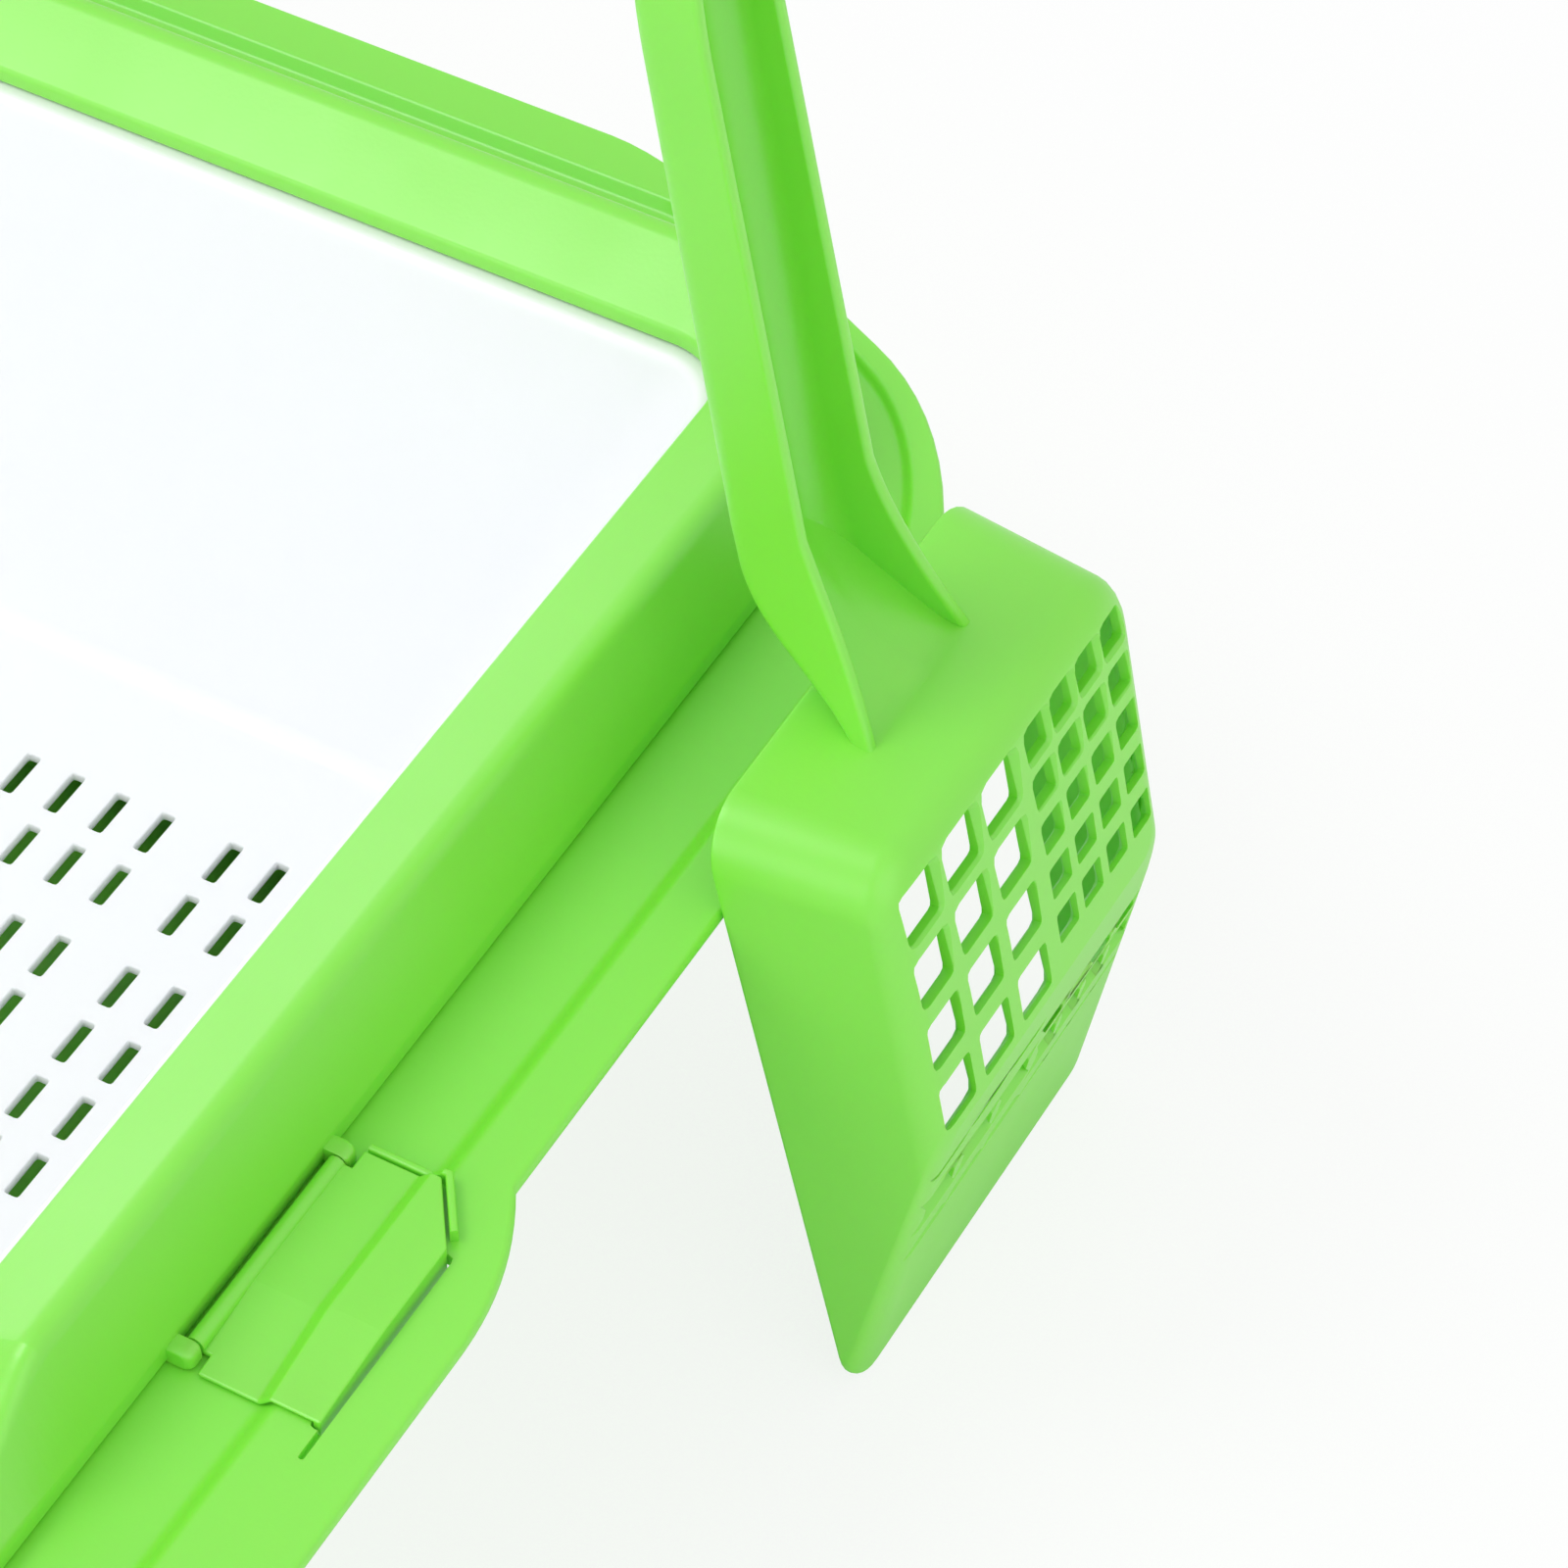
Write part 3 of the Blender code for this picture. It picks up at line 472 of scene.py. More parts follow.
@dataclass(frozen=True)
class HoleField:
    """A field of holes in panels with wider gaps between them, cut by a Geometry Nodes tree."""

    columns: int
    rows: int
    pitch_across: float
    pitch_along: float
    panel_columns: int = 1
    panel_rows: int = 1
    first_column: int = 0
    first_row: int = 0
    row_shift: float = 0.0
    panel_gap: float = 0.0
    origin: Spot = (0.0, 0.0, 0.0)
    turn: Spot = (0.0, 0.0, 0.0)

    def cut(self, obj: Object, tool: Object, finish: Material) -> None:
        """Cuts the field into an object, turns it into a plain mesh and removes the tool.

        Args:
            obj: the solid.
            tool: the tool of one hole.
            finish: material of the whole solid.
        """
        tree = hole_field_tree()
        modifier = obj.modifiers.new("hole field", "NODES")
        modifier.node_group = tree
        values = {label(name): value for name, value in asdict(self).items()}
        values |= {"Tool": tool, "Finish": finish}
        for item in tree.interface.items_tree:
            if item.item_type == "SOCKET" and item.in_out == "INPUT" and item.name in values:
                modifier[item.identifier] = values[item.name]
        settle(obj)
        bpy.data.objects.remove(tool)


SOCKET_KINDS = {int: "NodeSocketInt", float: "NodeSocketFloat", Spot: "NodeSocketVector"}


def hole_field_tree() -> bpy.types.NodeTree:
    """Returns the tree that cuts a field of holes, and builds it the first time.

    Returns:
        The tree, whose inputs are the solid, the tool, every size of a HoleField and the finish.
    """
    name = "hole_field"
    if name in bpy.data.node_groups:
        return bpy.data.node_groups[name]
    tree = bpy.data.node_groups.new(name, "GeometryNodeTree")
    inputs = {"Geometry": "NodeSocketGeometry", "Tool": "NodeSocketObject"}
    inputs |= {label(size.name): SOCKET_KINDS[size.type] for size in fields(HoleField)}
    inputs |= {"Finish": "NodeSocketMaterial"}
    for title, kind in inputs.items():
        tree.interface.new_socket(title, in_out="INPUT", socket_type=kind)
    tree.interface.new_socket("Geometry", in_out="OUTPUT", socket_type="NodeSocketGeometry")
    given = add_node(tree, "NodeGroupInput", {}).outputs

    def worked_out(start: Any, *steps: tuple[str, Any]) -> bpy.types.NodeSocket:
        """Adds the sums that are done with a value one after the other.

        Args:
            start: the value, a number or a socket.
            steps: each sum's operation and its other value.

        Returns:
            The socket of the last result.
        """
        for operation, other in steps:
            start = add_node(tree, "ShaderNodeMath", {0: start, 1: other}, operation=operation).outputs[0]
        return start

    def place(index: Any, count: str, pitch: str, panel: str, first: str, shift: Any) -> bpy.types.NodeSocket:
        """Adds the sums that turn a column or a row into a place from the field's middle.

        Args:
            index: the column or the row.
            count: input with the number of them.
            pitch: input with their pitch.
            panel: input with how many of them a panel has.
            first: input with the first one of the middle panel.
            shift: share of the gap between panels that everything is moved by.

        Returns:
            The socket of the place.
        """
        middle = worked_out(given[count], ("SUBTRACT", 1.0), ("MULTIPLY", 0.5))
        even = worked_out(index, ("SUBTRACT", middle), ("MULTIPLY", given[pitch]))
        panels = worked_out(index, ("SUBTRACT", given[first]), ("DIVIDE", given[panel]), ("FLOOR", 0.0))
        extra = worked_out(panels, ("ADD", shift), ("MULTIPLY", given["Panel Gap"]))
        return worked_out(even, ("ADD", extra))

    grid = add_node(
        tree, "GeometryNodeMeshGrid", {"Vertices X": given["Columns"], "Vertices Y": given["Rows"]}
    )
    index = add_node(tree, "GeometryNodeInputIndex", {}).outputs["Index"]
    column = worked_out(index, ("ADD", 0.5), ("DIVIDE", given["Rows"]), ("FLOOR", 0.0))
    row = worked_out(index, ("SUBTRACT", worked_out(column, ("MULTIPLY", given["Rows"]))))
    across = place(column, "Columns", "Pitch Across", "Panel Columns", "First Column", 0.0)
    along = place(row, "Rows", "Pitch Along", "Panel Rows", "First Row", given["Row Shift"])
    spot = add_node(tree, "ShaderNodeCombineXYZ", {"X": across, "Y": along}).outputs["Vector"]
    spread = add_node(
        tree, "GeometryNodeSetPosition", {"Geometry": grid.outputs["Mesh"], "Position": spot}
    )
    placed = add_node(
        tree,
        "GeometryNodeTransform",
        {
            "Geometry": spread.outputs["Geometry"],
            "Translation": given["Origin"],
            "Rotation": given["Turn"],
        },
    )
    tool = add_node(tree, "GeometryNodeObjectInfo", {"Object": given["Tool"]}).outputs["Geometry"]
    tools = add_node(
        tree,
        "GeometryNodeInstanceOnPoints",
        {"Points": placed.outputs["Geometry"], "Instance": tool, "Rotation": given["Turn"]},
    )
    cut = add_node(
        tree,
        "GeometryNodeMeshBoolean",
        {"Mesh 1": given["Geometry"], "Mesh 2": tools.outputs["Instances"]},
        operation="DIFFERENCE",
        solver="EXACT",
    )
    real = add_node(tree, "GeometryNodeRealizeInstances", {"Geometry": cut.outputs["Mesh"]})
    painted = add_node(
        tree, "GeometryNodeSetMaterial", {"Geometry": real.outputs["Geometry"], "Material": given["Finish"]}
    )
    add_node(tree, "NodeGroupOutput", {"Geometry": painted.outputs["Geometry"]})
    return tree


# The box's shared shape.


@dataclass(frozen=True)
class Fold:
    """One fold line of a moulded sheet: where it runs round the box, and its radius."""

    inset: float
    height: float
    corner: Pairs
    radius: float
    bulged: bool = False
    lowered: bool = False
    step_lead: float = 0.0


@dataclass(frozen=True)
class BoxShape:
    """Outlines that the tray, the sieve, the frame and the latches share. Insets run inwards from the
    outer edge of the rim. The rim's corner is two curves that meet at a point, each drawn by the places
    of its end on a side and of the two pulls that bend it."""

    length: float = 0.482
    width: float = 0.382
    rim_height: float = 0.101
    sheet: float = 0.0024
    gap: float = 0.0003
    lip_width: float = 0.009
    lip_slope: float = 0.002
    trough_width: float = 0.015
    bulge_depth: float = 0.0078
    bulge_half_length: float = 0.048
    bulge_run: float = 0.028
    bulge_power: float = 2.2
    step: float = 0.012
    step_start_y: float = -0.016
    step_run: float = 0.021
    upstand_lead: float = 0.0015
    frame_lean: float = 0.006
    frame_rise: float = 0.0225
    band_width: float = 0.0154
    band_fall: float = 0.0078
    bead: float = 0.003
    inner_radius: float = 0.012
    flange_reach: float = 0.0135
    sieve_sheet: float = 0.002
    least_bend: float = 0.125
    corner_meet: tuple[float, float] = (0.0374, 0.0221)
    corner_turn: float = math.radians(24)
    corner_long_end: float = 0.0926
    corner_long_pull: float = 0.0609
    corner_meet_pulls: tuple[float, float] = (0.0229, 0.0111)
    corner_short_pull: float = 0.0822
    corner_short_end: float = 0.0987
    corner_steps: int = 32
    station_steps: int = 12

    @property
    def slope_inset(self) -> float:
        """Inset of the foot of the lip's slope."""
        return self.lip_width + self.lip_slope

    @property
    def trough_height(self) -> float:
        """Height of the trough's floor."""
        return self.rim_height - self.lip_slope

    @property
    def foot_inset(self) -> float:
        """Inset of the frame's foot."""
        return self.slope_inset + self.trough_width

    @property
    def foot_height(self) -> float:
        """Height of the frame's foot."""
        return self.trough_height + self.gap

    @property
    def ridge_height(self) -> float:
        """Height of the frame's ridge."""
        return self.foot_height + self.frame_rise

    @property
    def inner_inset(self) -> float:
        """Inset of the frame's inner edge."""
        return self.foot_inset + self.frame_lean + self.band_width

    @property
    def inner_height(self) -> float:
        """Height of the frame's inner edge."""
        return self.ridge_height - self.band_fall

    @property
    def flange_top(self) -> float:
        """Height of the top of the sieve tray's flange."""
        return self.inner_height - self.bead - self.gap

    @property
    def mouth_inset(self) -> float:
        """Inset of the sieve tray's mouth."""
        return self.inner_inset + self.sheet

    @property
    def flange_inset(self) -> float:
        """Inset of the outer edge of the sieve tray's flange."""
        return self.mouth_inset - self.flange_reach

    def front_drop(self, y: float) -> float:
        """Returns how far the frame has stepped down at a place along the box."""
        return self.step * eased((self.step_start_y - y) / self.step_run)

    def lip_bulge(self, y: float) -> float:
        """Returns how far the lip bulges out at a place along the box."""
        share = min(max((self.bulge_half_length - abs(y)) / self.bulge_run, 0.0), 1.0)
        return self.bulge_depth * (1 - (1 - share) ** self.bulge_power)

    def stations(self) -> list[float]:
        """Returns the places along a long side where outlines have points.

        Returns:
            The places in order, close together along the bulge's ends and the steps.
        """
        places = []
        for share in shares(self.station_steps):
            bulge = self.bulge_half_length - self.bulge_run * share
            places += [bulge, -bulge]
            for lead in (0.0, self.upstand_lead):
                places.append(self.step_start_y - lead - self.step_run * share)
        return sorted({round(place, PLACE_DIGITS) for place in places})

    def even_corner(self, reach: float) -> Pairs:
        """Samples a round corner.

        Args:
            reach: how far from the crossing of the sides it starts.

        Returns:
            Insets from the long side and from the short side, point by point.
        """
        turns = quarter_turn(self.corner_steps)
        return [(reach - reach * math.cos(turn), reach - reach * math.sin(turn)) for turn in turns]

    def rim_corner(self) -> Pairs:
        """Samples the rim's wide corner: two smooth curves that meet at a point.

        Returns:
            Insets from the long side and from the short side, point by point.
        """
        meet = Vector(self.corner_meet)
        turn = Vector((math.cos(self.corner_turn), -math.sin(self.corner_turn)))
        back, ahead = (turn * pull for pull in self.corner_meet_pulls)
        long_ends = [Vector((0, self.corner_long_end)), Vector((0, self.corner_long_pull))]
        short_ends = [Vector((self.corner_short_pull, 0)), Vector((self.corner_short_end, 0))]
        long_curve = curve([*long_ends, meet - back, meet], self.corner_steps // 2)
        short_curve = curve([meet, meet + ahead, *short_ends], self.corner_steps // 2)
        return [(point.x, point.y) for point in long_curve + short_curve[1:]]

    def inner_corner(self, inset: float) -> Pairs:
        """Returns a corner parallel to the frame's inner edge."""
        return self.even_corner(self.inner_radius + self.inner_inset - inset)

    def lip_corner(self, inset: float) -> Pairs:
        """Returns a corner on the way from the rim's corner to the frame's, as far as on the sides."""
        share = inset / self.foot_inset
        return [
            (x * (1 - share) + foot_x * share, y * (1 - share) + foot_y * share)
            for (x, y), (foot_x, foot_y) in zip(self.rim_corner(), self.inner_corner(self.foot_inset))
        ]

    def ring(self, fold: Fold) -> Outline:
        """Samples a fold all the way round the box.

        Args:
            fold: the fold.

        Returns:
            The closed outline, anticlockwise from above.
        """
        half_width = self.width / 2 - fold.inset
        half_length = self.length / 2 - fold.inset
        corner = [(half_width - across, half_length - along) for across, along in fold.corner]
        side = [(half_width + (self.lip_bulge(y) if fold.bulged else 0), y) for y in self.stations()]
        points = side + corner
        points += [(-x, y) for x, y in reversed(corner)]
        points += [(-x, y) for x, y in reversed(side)]
        points += [(-x, -y) for x, y in corner]
        points += [(x, -y) for x, y in reversed(corner)]
        return [
            Vector((x, y, fold.height - (self.front_drop(y - fold.step_lead) if fold.lowered else 0)))
            for x, y in points
        ]

    def moulded(self, folds: list[Fold], sheet: float, name: str, finish: Material, capped: bool) -> Object:
        """Moulds a sheet of even thickness along fold lines, with every fold and edge rounded.

        Args:
            folds: the folds of the upper side, from the outer edge inwards.
            sheet: thickness, laid on under the upper side.
            name: name of the piece.
            finish: its material.
            capped: whether both sides are filled inside the last fold.

        Returns:
            The closed solid.
        """
        rings = [self.ring(fold) for fold in folds]
        count = len(rings[0])
        columns = []
        for i in range(count):
            top = [ring[i] for ring in rings]
            along = [(ring[(i + 1) % count] - ring[i - 1]).normalized() for ring in rings]
            under, under_radii = [], []
            for k, (point, tangent) in enumerate(zip(top, along)):
                before = top[k] - top[k - 1] if k else top[1] - top[0]
                after = top[k + 1] - top[k] if k + 1 < len(top) else before
                up_before = tangent.cross(before).normalized()
                up_after = tangent.cross(after).normalized()
                mitre = (up_before + up_after) / (1 + up_before.dot(up_after))
                under.append(point - mitre * sheet)
                bends_up = up_before.dot(after) > 0
                radius, least = folds[k].radius, sheet * self.least_bend
                under_radii.append(radius + sheet if bends_up else max(radius - sheet, least))
            under_radii[0], under_radii[-1] = folds[0].radius, folds[-1].radius
            radii = list(reversed(under_radii)) + [fold.radius for fold in folds]
            columns.append(rounded(list(reversed(under)) + top, radii, EDGE_STEPS, closed=not capped))
        return solid([list(row) for row in zip(*columns)], name, finish, capped)


# Pieces.


@dataclass(frozen=True)
class Piece:
    """What every piece is listed with: its CAD node, its body and its material slot."""

    node: str
    body: str
    slot: Slot

    def attach(self, obj: Object, sharp_degrees: float = 38.0) -> Object:
        """Finishes a piece, lets it ride on its body and stands it in for its CAD node.

        Args:
            obj: the finished mesh, in place.
            sharp_degrees: the angle from which its edges aren't shaded smooth.

        Returns:
            The same object.
        """
        shade(obj.data, sharp_degrees)
        even = obj.modifiers.new("even shading", "WEIGHTED_NORMAL")
        even.keep_sharp = True
        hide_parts(self.node)
        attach(obj, self.body)
        LOG.info("%s: %d faces, rides on %s", obj.name, len(obj.data.polygons), self.body)
        return obj


@dataclass(frozen=True)
class BaseTray:
    """Outer tub: flat lip, trough, upstand that carries the sieve tray, sloping walls and floor."""

    shape: BoxShape
    upstand_lean: float = 0.0015
    upstand_top: float = 0.005
    side_spread: float = 0.0315
    floor_radius: float = 0.030
    floor_margin: float = 0.008
    lip_edge: float = 0.0010
    lip_fold: float = 0.0031
    trough_fold: float = 0.0025
    upstand_fold: float = 0.0012
    floor_fold: float = 0.0060
    slot_edge: float = 0.00015
    slot_corner_share: float = 0.8
    tool_over: float = 0.004
    bead_width: float = 0.0012
    bead_gap: float = 0.0005
    bead_round: float = 0.0005
    bead_chamfer_run: float = 0.0100

    def folds(self) -> list[Fold]:
        """Lists the tub's fold lines.

        Returns:
            The folds of its upper side, from the lip's outer edge to the floor.
        """
        box = self.shape
        lip, slope, flange = box.lip_width, box.slope_inset, box.flange_inset
        rim, trough = box.rim_height, box.trough_height
        upstand = box.flange_top - box.sieve_sheet - box.gap
        foot = flange - self.upstand_lean
        wall = flange + self.upstand_top
        floor = wall + self.side_spread
        inner = floor + self.floor_margin
        stepped = {"lowered": True, "step_lead": box.upstand_lead}
        return [
            Fold(0, rim, box.rim_corner(), self.lip_edge, bulged=True),
            Fold(lip, rim, box.lip_corner(lip), self.lip_fold),
            Fold(slope, trough, box.lip_corner(slope), self.lip_fold),
            Fold(foot, trough, box.inner_corner(foot), self.trough_fold),
            Fold(flange, upstand, box.inner_corner(flange), self.upstand_fold, **stepped),
            Fold(wall, upstand, box.inner_corner(wall), self.upstand_fold, **stepped),
            Fold(floor, box.sheet, box.even_corner(self.floor_radius), self.floor_fold),
            Fold(inner, box.sheet, box.even_corner(self.floor_radius - self.floor_margin), 0),
        ]

    def build(self, finish: Material, latch: "LatchFlap") -> Object:
        """Builds the tub with a slot in the lip for each latch.

        Args:
            finish: its material.
            latch: the latch whose tongues drop through the slots.

        Returns:
            The finished object.
        """
        sheet = self.shape.sheet
        tray = self.shape.moulded(self.folds(), sheet, "base_tray_shell", finish, capped=True)
        for side in Side:
            join(tray, self.latch_bead(side, latch), "UNION")
        self.cut_lips(tray, finish, latch.lip_slot(), sheet, blind=False)
        self.cut_lips(tray, finish, latch.lip_groove(), latch.groove_depth, blind=True)
        return Piece("base_tray", "base", Slot.GREEN).attach(tray)

    def latch_bead(self, side: Side, latch: "LatchFlap") -> Object:
        """Builds the bead that frames the back end of a latch, as high as the flap.

        Args:
            side: the long side that it is on.
            latch: the latch.

        Returns:
            The bead, which reaches down into the lip's sheet.
        """
        box = self.shape
        edge = box.width / 2
        half = self.bead_width / 2
        out = self.bead_gap + half
        y = latch.middle_y + latch.length / 2 + out
        turn = math.atan2(latch.chamfer_along, latch.chamfer_across)
        ahead = Vector((math.cos(turn), -math.sin(turn)))
        straight, mitred = Vector((0, 1)), Vector((math.tan(turn / 2), 1))
        start = edge - box.foot_inset + latch.ear_out + out
        corner = Vector((edge - latch.edge_inset - latch.chamfer_across + out * mitred.x, y))
        spots = [
            (Vector((start, y)), straight, box.trough_height),
            (Vector((edge - box.slope_inset, y)), straight, box.trough_height),
            (Vector((edge - box.lip_width, y)), straight, box.rim_height),
            (corner, mitred, box.rim_height),
            (corner + ahead * self.bead_chamfer_run, Vector((-ahead.y, ahead.x)), box.rim_height),
        ]
        rows = []
        for spot, aside, height in spots:
            low, high = height - box.sheet / 2, height + box.gap + latch.sheet
            inner, outer = spot - aside * half, spot + aside * half
            profile = ((inner, low), (inner, high), (outer, high), (outer, low))
            points = [Vector((side.value * p.x, p.y, z)) for p, z in profile]
            radii = [0.0, self.bead_round, self.bead_round, 0.0]
            rows.append(rounded(points, radii, EDGE_STEPS, closed=True))
        return solid(rows, "latch_bead")

    def cut_lips(
        self, tray: Object, finish: Material, corners: tuple[Vector, Vector], depth: float, blind: bool
    ) -> None:
        """Cuts the same opening into the lips of both long sides.

        Args:
            tray: the tub.
            finish: its material.
            corners: two opposite corners of the right opening, on the ground plane.
            depth: how deep it is.
            blind: whether it is a groove and doesn't go through.
        """
        middle, half = (corners[0] + corners[1]) / 2, (corners[1] - corners[0]) / 2
        corner = half.x * self.slot_corner_share
        tool = cutter(half.x, half.y, depth, corner, self.slot_edge, self.tool_over, blind)
        pair = HoleField(
            columns=2, rows=1, pitch_across=middle.x * 2, pitch_along=half.y,
            origin=(0.0, middle.y, self.shape.rim_height),
        )
        pair.cut(tray, tool, finish)


@dataclass(frozen=True)
class SieveTray:
    """White inner tray: a flange that hangs on the upstand, sloping walls and a floor full of slots."""

    shape: BoxShape
    floor_height: float = 0.021
    wall_spread: float = 0.0300
    floor_radius: float = 0.022
    floor_margin: float = 0.008
    flange_edge: float = 0.0009
    mouth_fold: float = 0.0022
    floor_fold: float = 0.0080
    slot_width: float = 0.0026
    slot_length: float = 0.0089
    slot_corner: float = 0.0005
    slot_edge: float = 0.0003
    tool_over: float = 0.002

    def folds(self) -> list[Fold]:
        """Lists the sieve tray's fold lines.

        Returns:
            The folds of its upper side, from the flange's outer edge to the floor.
        """
        box = self.shape
        flange, mouth, top = box.flange_inset, box.mouth_inset, box.flange_top
        floor = mouth + self.wall_spread
        inner = floor + self.floor_margin
        inner_corner = box.even_corner(self.floor_radius - self.floor_margin)
        return [
            Fold(flange, top, box.inner_corner(flange), self.flange_edge, lowered=True),
            Fold(mouth, top, box.inner_corner(mouth), self.mouth_fold, lowered=True),
            Fold(floor, self.floor_height, box.even_corner(self.floor_radius), self.floor_fold),
            Fold(inner, self.floor_height, inner_corner, 0),
        ]

    def build(self, finish: Material) -> Object:
        """Builds the tray with every slot of its floor cut.

        Args:
            finish: its material.

        Returns:
            The finished object.
        """
        sheet = self.shape.sieve_sheet
        tray = self.shape.moulded(self.folds(), sheet, "sieve_tray_body", finish, capped=True)
        half_x, half_y = self.slot_width / 2, self.slot_length / 2
        tool = cutter(half_x, half_y, sheet, self.slot_corner, self.slot_edge, self.tool_over)
        slots = HoleField(
            columns=21, rows=20, pitch_across=0.0089, pitch_along=0.0129, panel_columns=5, panel_rows=4,
            first_column=8, first_row=10, row_shift=0.5, panel_gap=0.0044,
            origin=(0.0, 0.0, self.floor_height),
        )
        slots.cut(tray, tool, finish)
        return Piece("sieve_tray", "sieve", Slot.WHITE).attach(tray)


@dataclass(frozen=True)
class TopFrame:
    """Green ring in the trough: upright foot, leaning wall, ridge, band, inner bead and latch ears."""

    shape: BoxShape
    foot_rise: float = 0.0034
    foot_edge: float = 0.0008
    wall_fold: float = 0.0030
    ridge_fold: float = 0.0032
    inner_fold: float = 0.0014
    bead_edge: float = 0.0008
    ear_edge: float = 0.0004
    ear_round: float = 0.0014
    ear_end_round: float = 0.0013
    ear_end_fall: float = 0.3
    ear_steps: int = 5

    def folds(self) -> list[Fold]:
        """Lists the ring's fold lines.

        Returns:
            The folds of its outside, from the foot over the ridge to the bead.
        """
        box = self.shape
        foot, ridge, inner = box.foot_inset, box.foot_inset + box.frame_lean, box.inner_inset
        foot_corner, inner_corner = box.inner_corner(foot), box.inner_corner(inner)
        return [
            Fold(foot, box.foot_height, foot_corner, self.foot_edge),
            Fold(foot, box.foot_height + self.foot_rise, foot_corner, self.wall_fold),
            Fold(ridge, box.ridge_height, box.inner_corner(ridge), self.ridge_fold, lowered=True),
            Fold(inner, box.inner_height, inner_corner, self.inner_fold, lowered=True),
            Fold(inner, box.inner_height - box.bead, inner_corner, self.bead_edge, lowered=True),
        ]

    def ear(self, side: Side, end: int, latch: "LatchFlap") -> Object:
        """Builds one ear, rounded at the end that is away from the flap's barrel.

        Args:
            side: the long side that it is on.
            end: the flap's end that it is at, -1 for the front and 1 for the back.
            latch: the latch whose pin it holds.

        Returns:
            The block, without its pin hole.
        """
        box = self.shape
        foot = box.width / 2 - box.foot_inset
        start = latch.barrel_length / 2 + box.gap
        slices = [(0.0, self.ear_edge), (self.ear_edge, 0.0)]
        for turn in quarter_turn(self.ear_steps):
            along = latch.ear_length - self.ear_end_round * (1 - math.sin(turn))
            slices.append((along, self.ear_end_round * (1 - math.cos(turn))))
        rows = []
        for along, drawn_in in slices:
            out, high = latch.ear_out - drawn_in, latch.ear_height - self.ear_end_fall * drawn_in
            profile = ((-box.sheet / 2, 0.0), (out, 0.0), (out, high), (-box.sheet / 2, high))
            y = latch.middle_y + end * (start + along)
            points = [Vector((side.value * (foot + x), y, box.foot_height + z)) for x, z in profile]
            rows.append(rounded(points, [0.0, self.ear_edge, self.ear_round, 0.0], EDGE_STEPS, closed=True))
        return solid(rows, "ear")

    def build(self, finish: Material, latch: "LatchFlap") -> Object:
        """Builds the ring with the ears of both latches.

        Args:
            finish: its material.
            latch: the latch that the ears hold.

        Returns:
            The finished object.
        """
        box = self.shape
        ring = box.moulded(self.folds(), box.sheet, "top_frame_ring", finish, capped=False)
        hole_length = latch.barrel_length + 2 * (latch.pin_length + box.gap)
        for side in Side:
            for end in BOTH_ENDS:
                join(ring, self.ear(side, end, latch), "UNION")
            join(ring, rod(latch.pin_radius + box.gap, latch.hinge_middle(side), hole_length), "DIFFERENCE")
        return Piece("top_frame", "frame", Slot.GREEN).attach(ring)


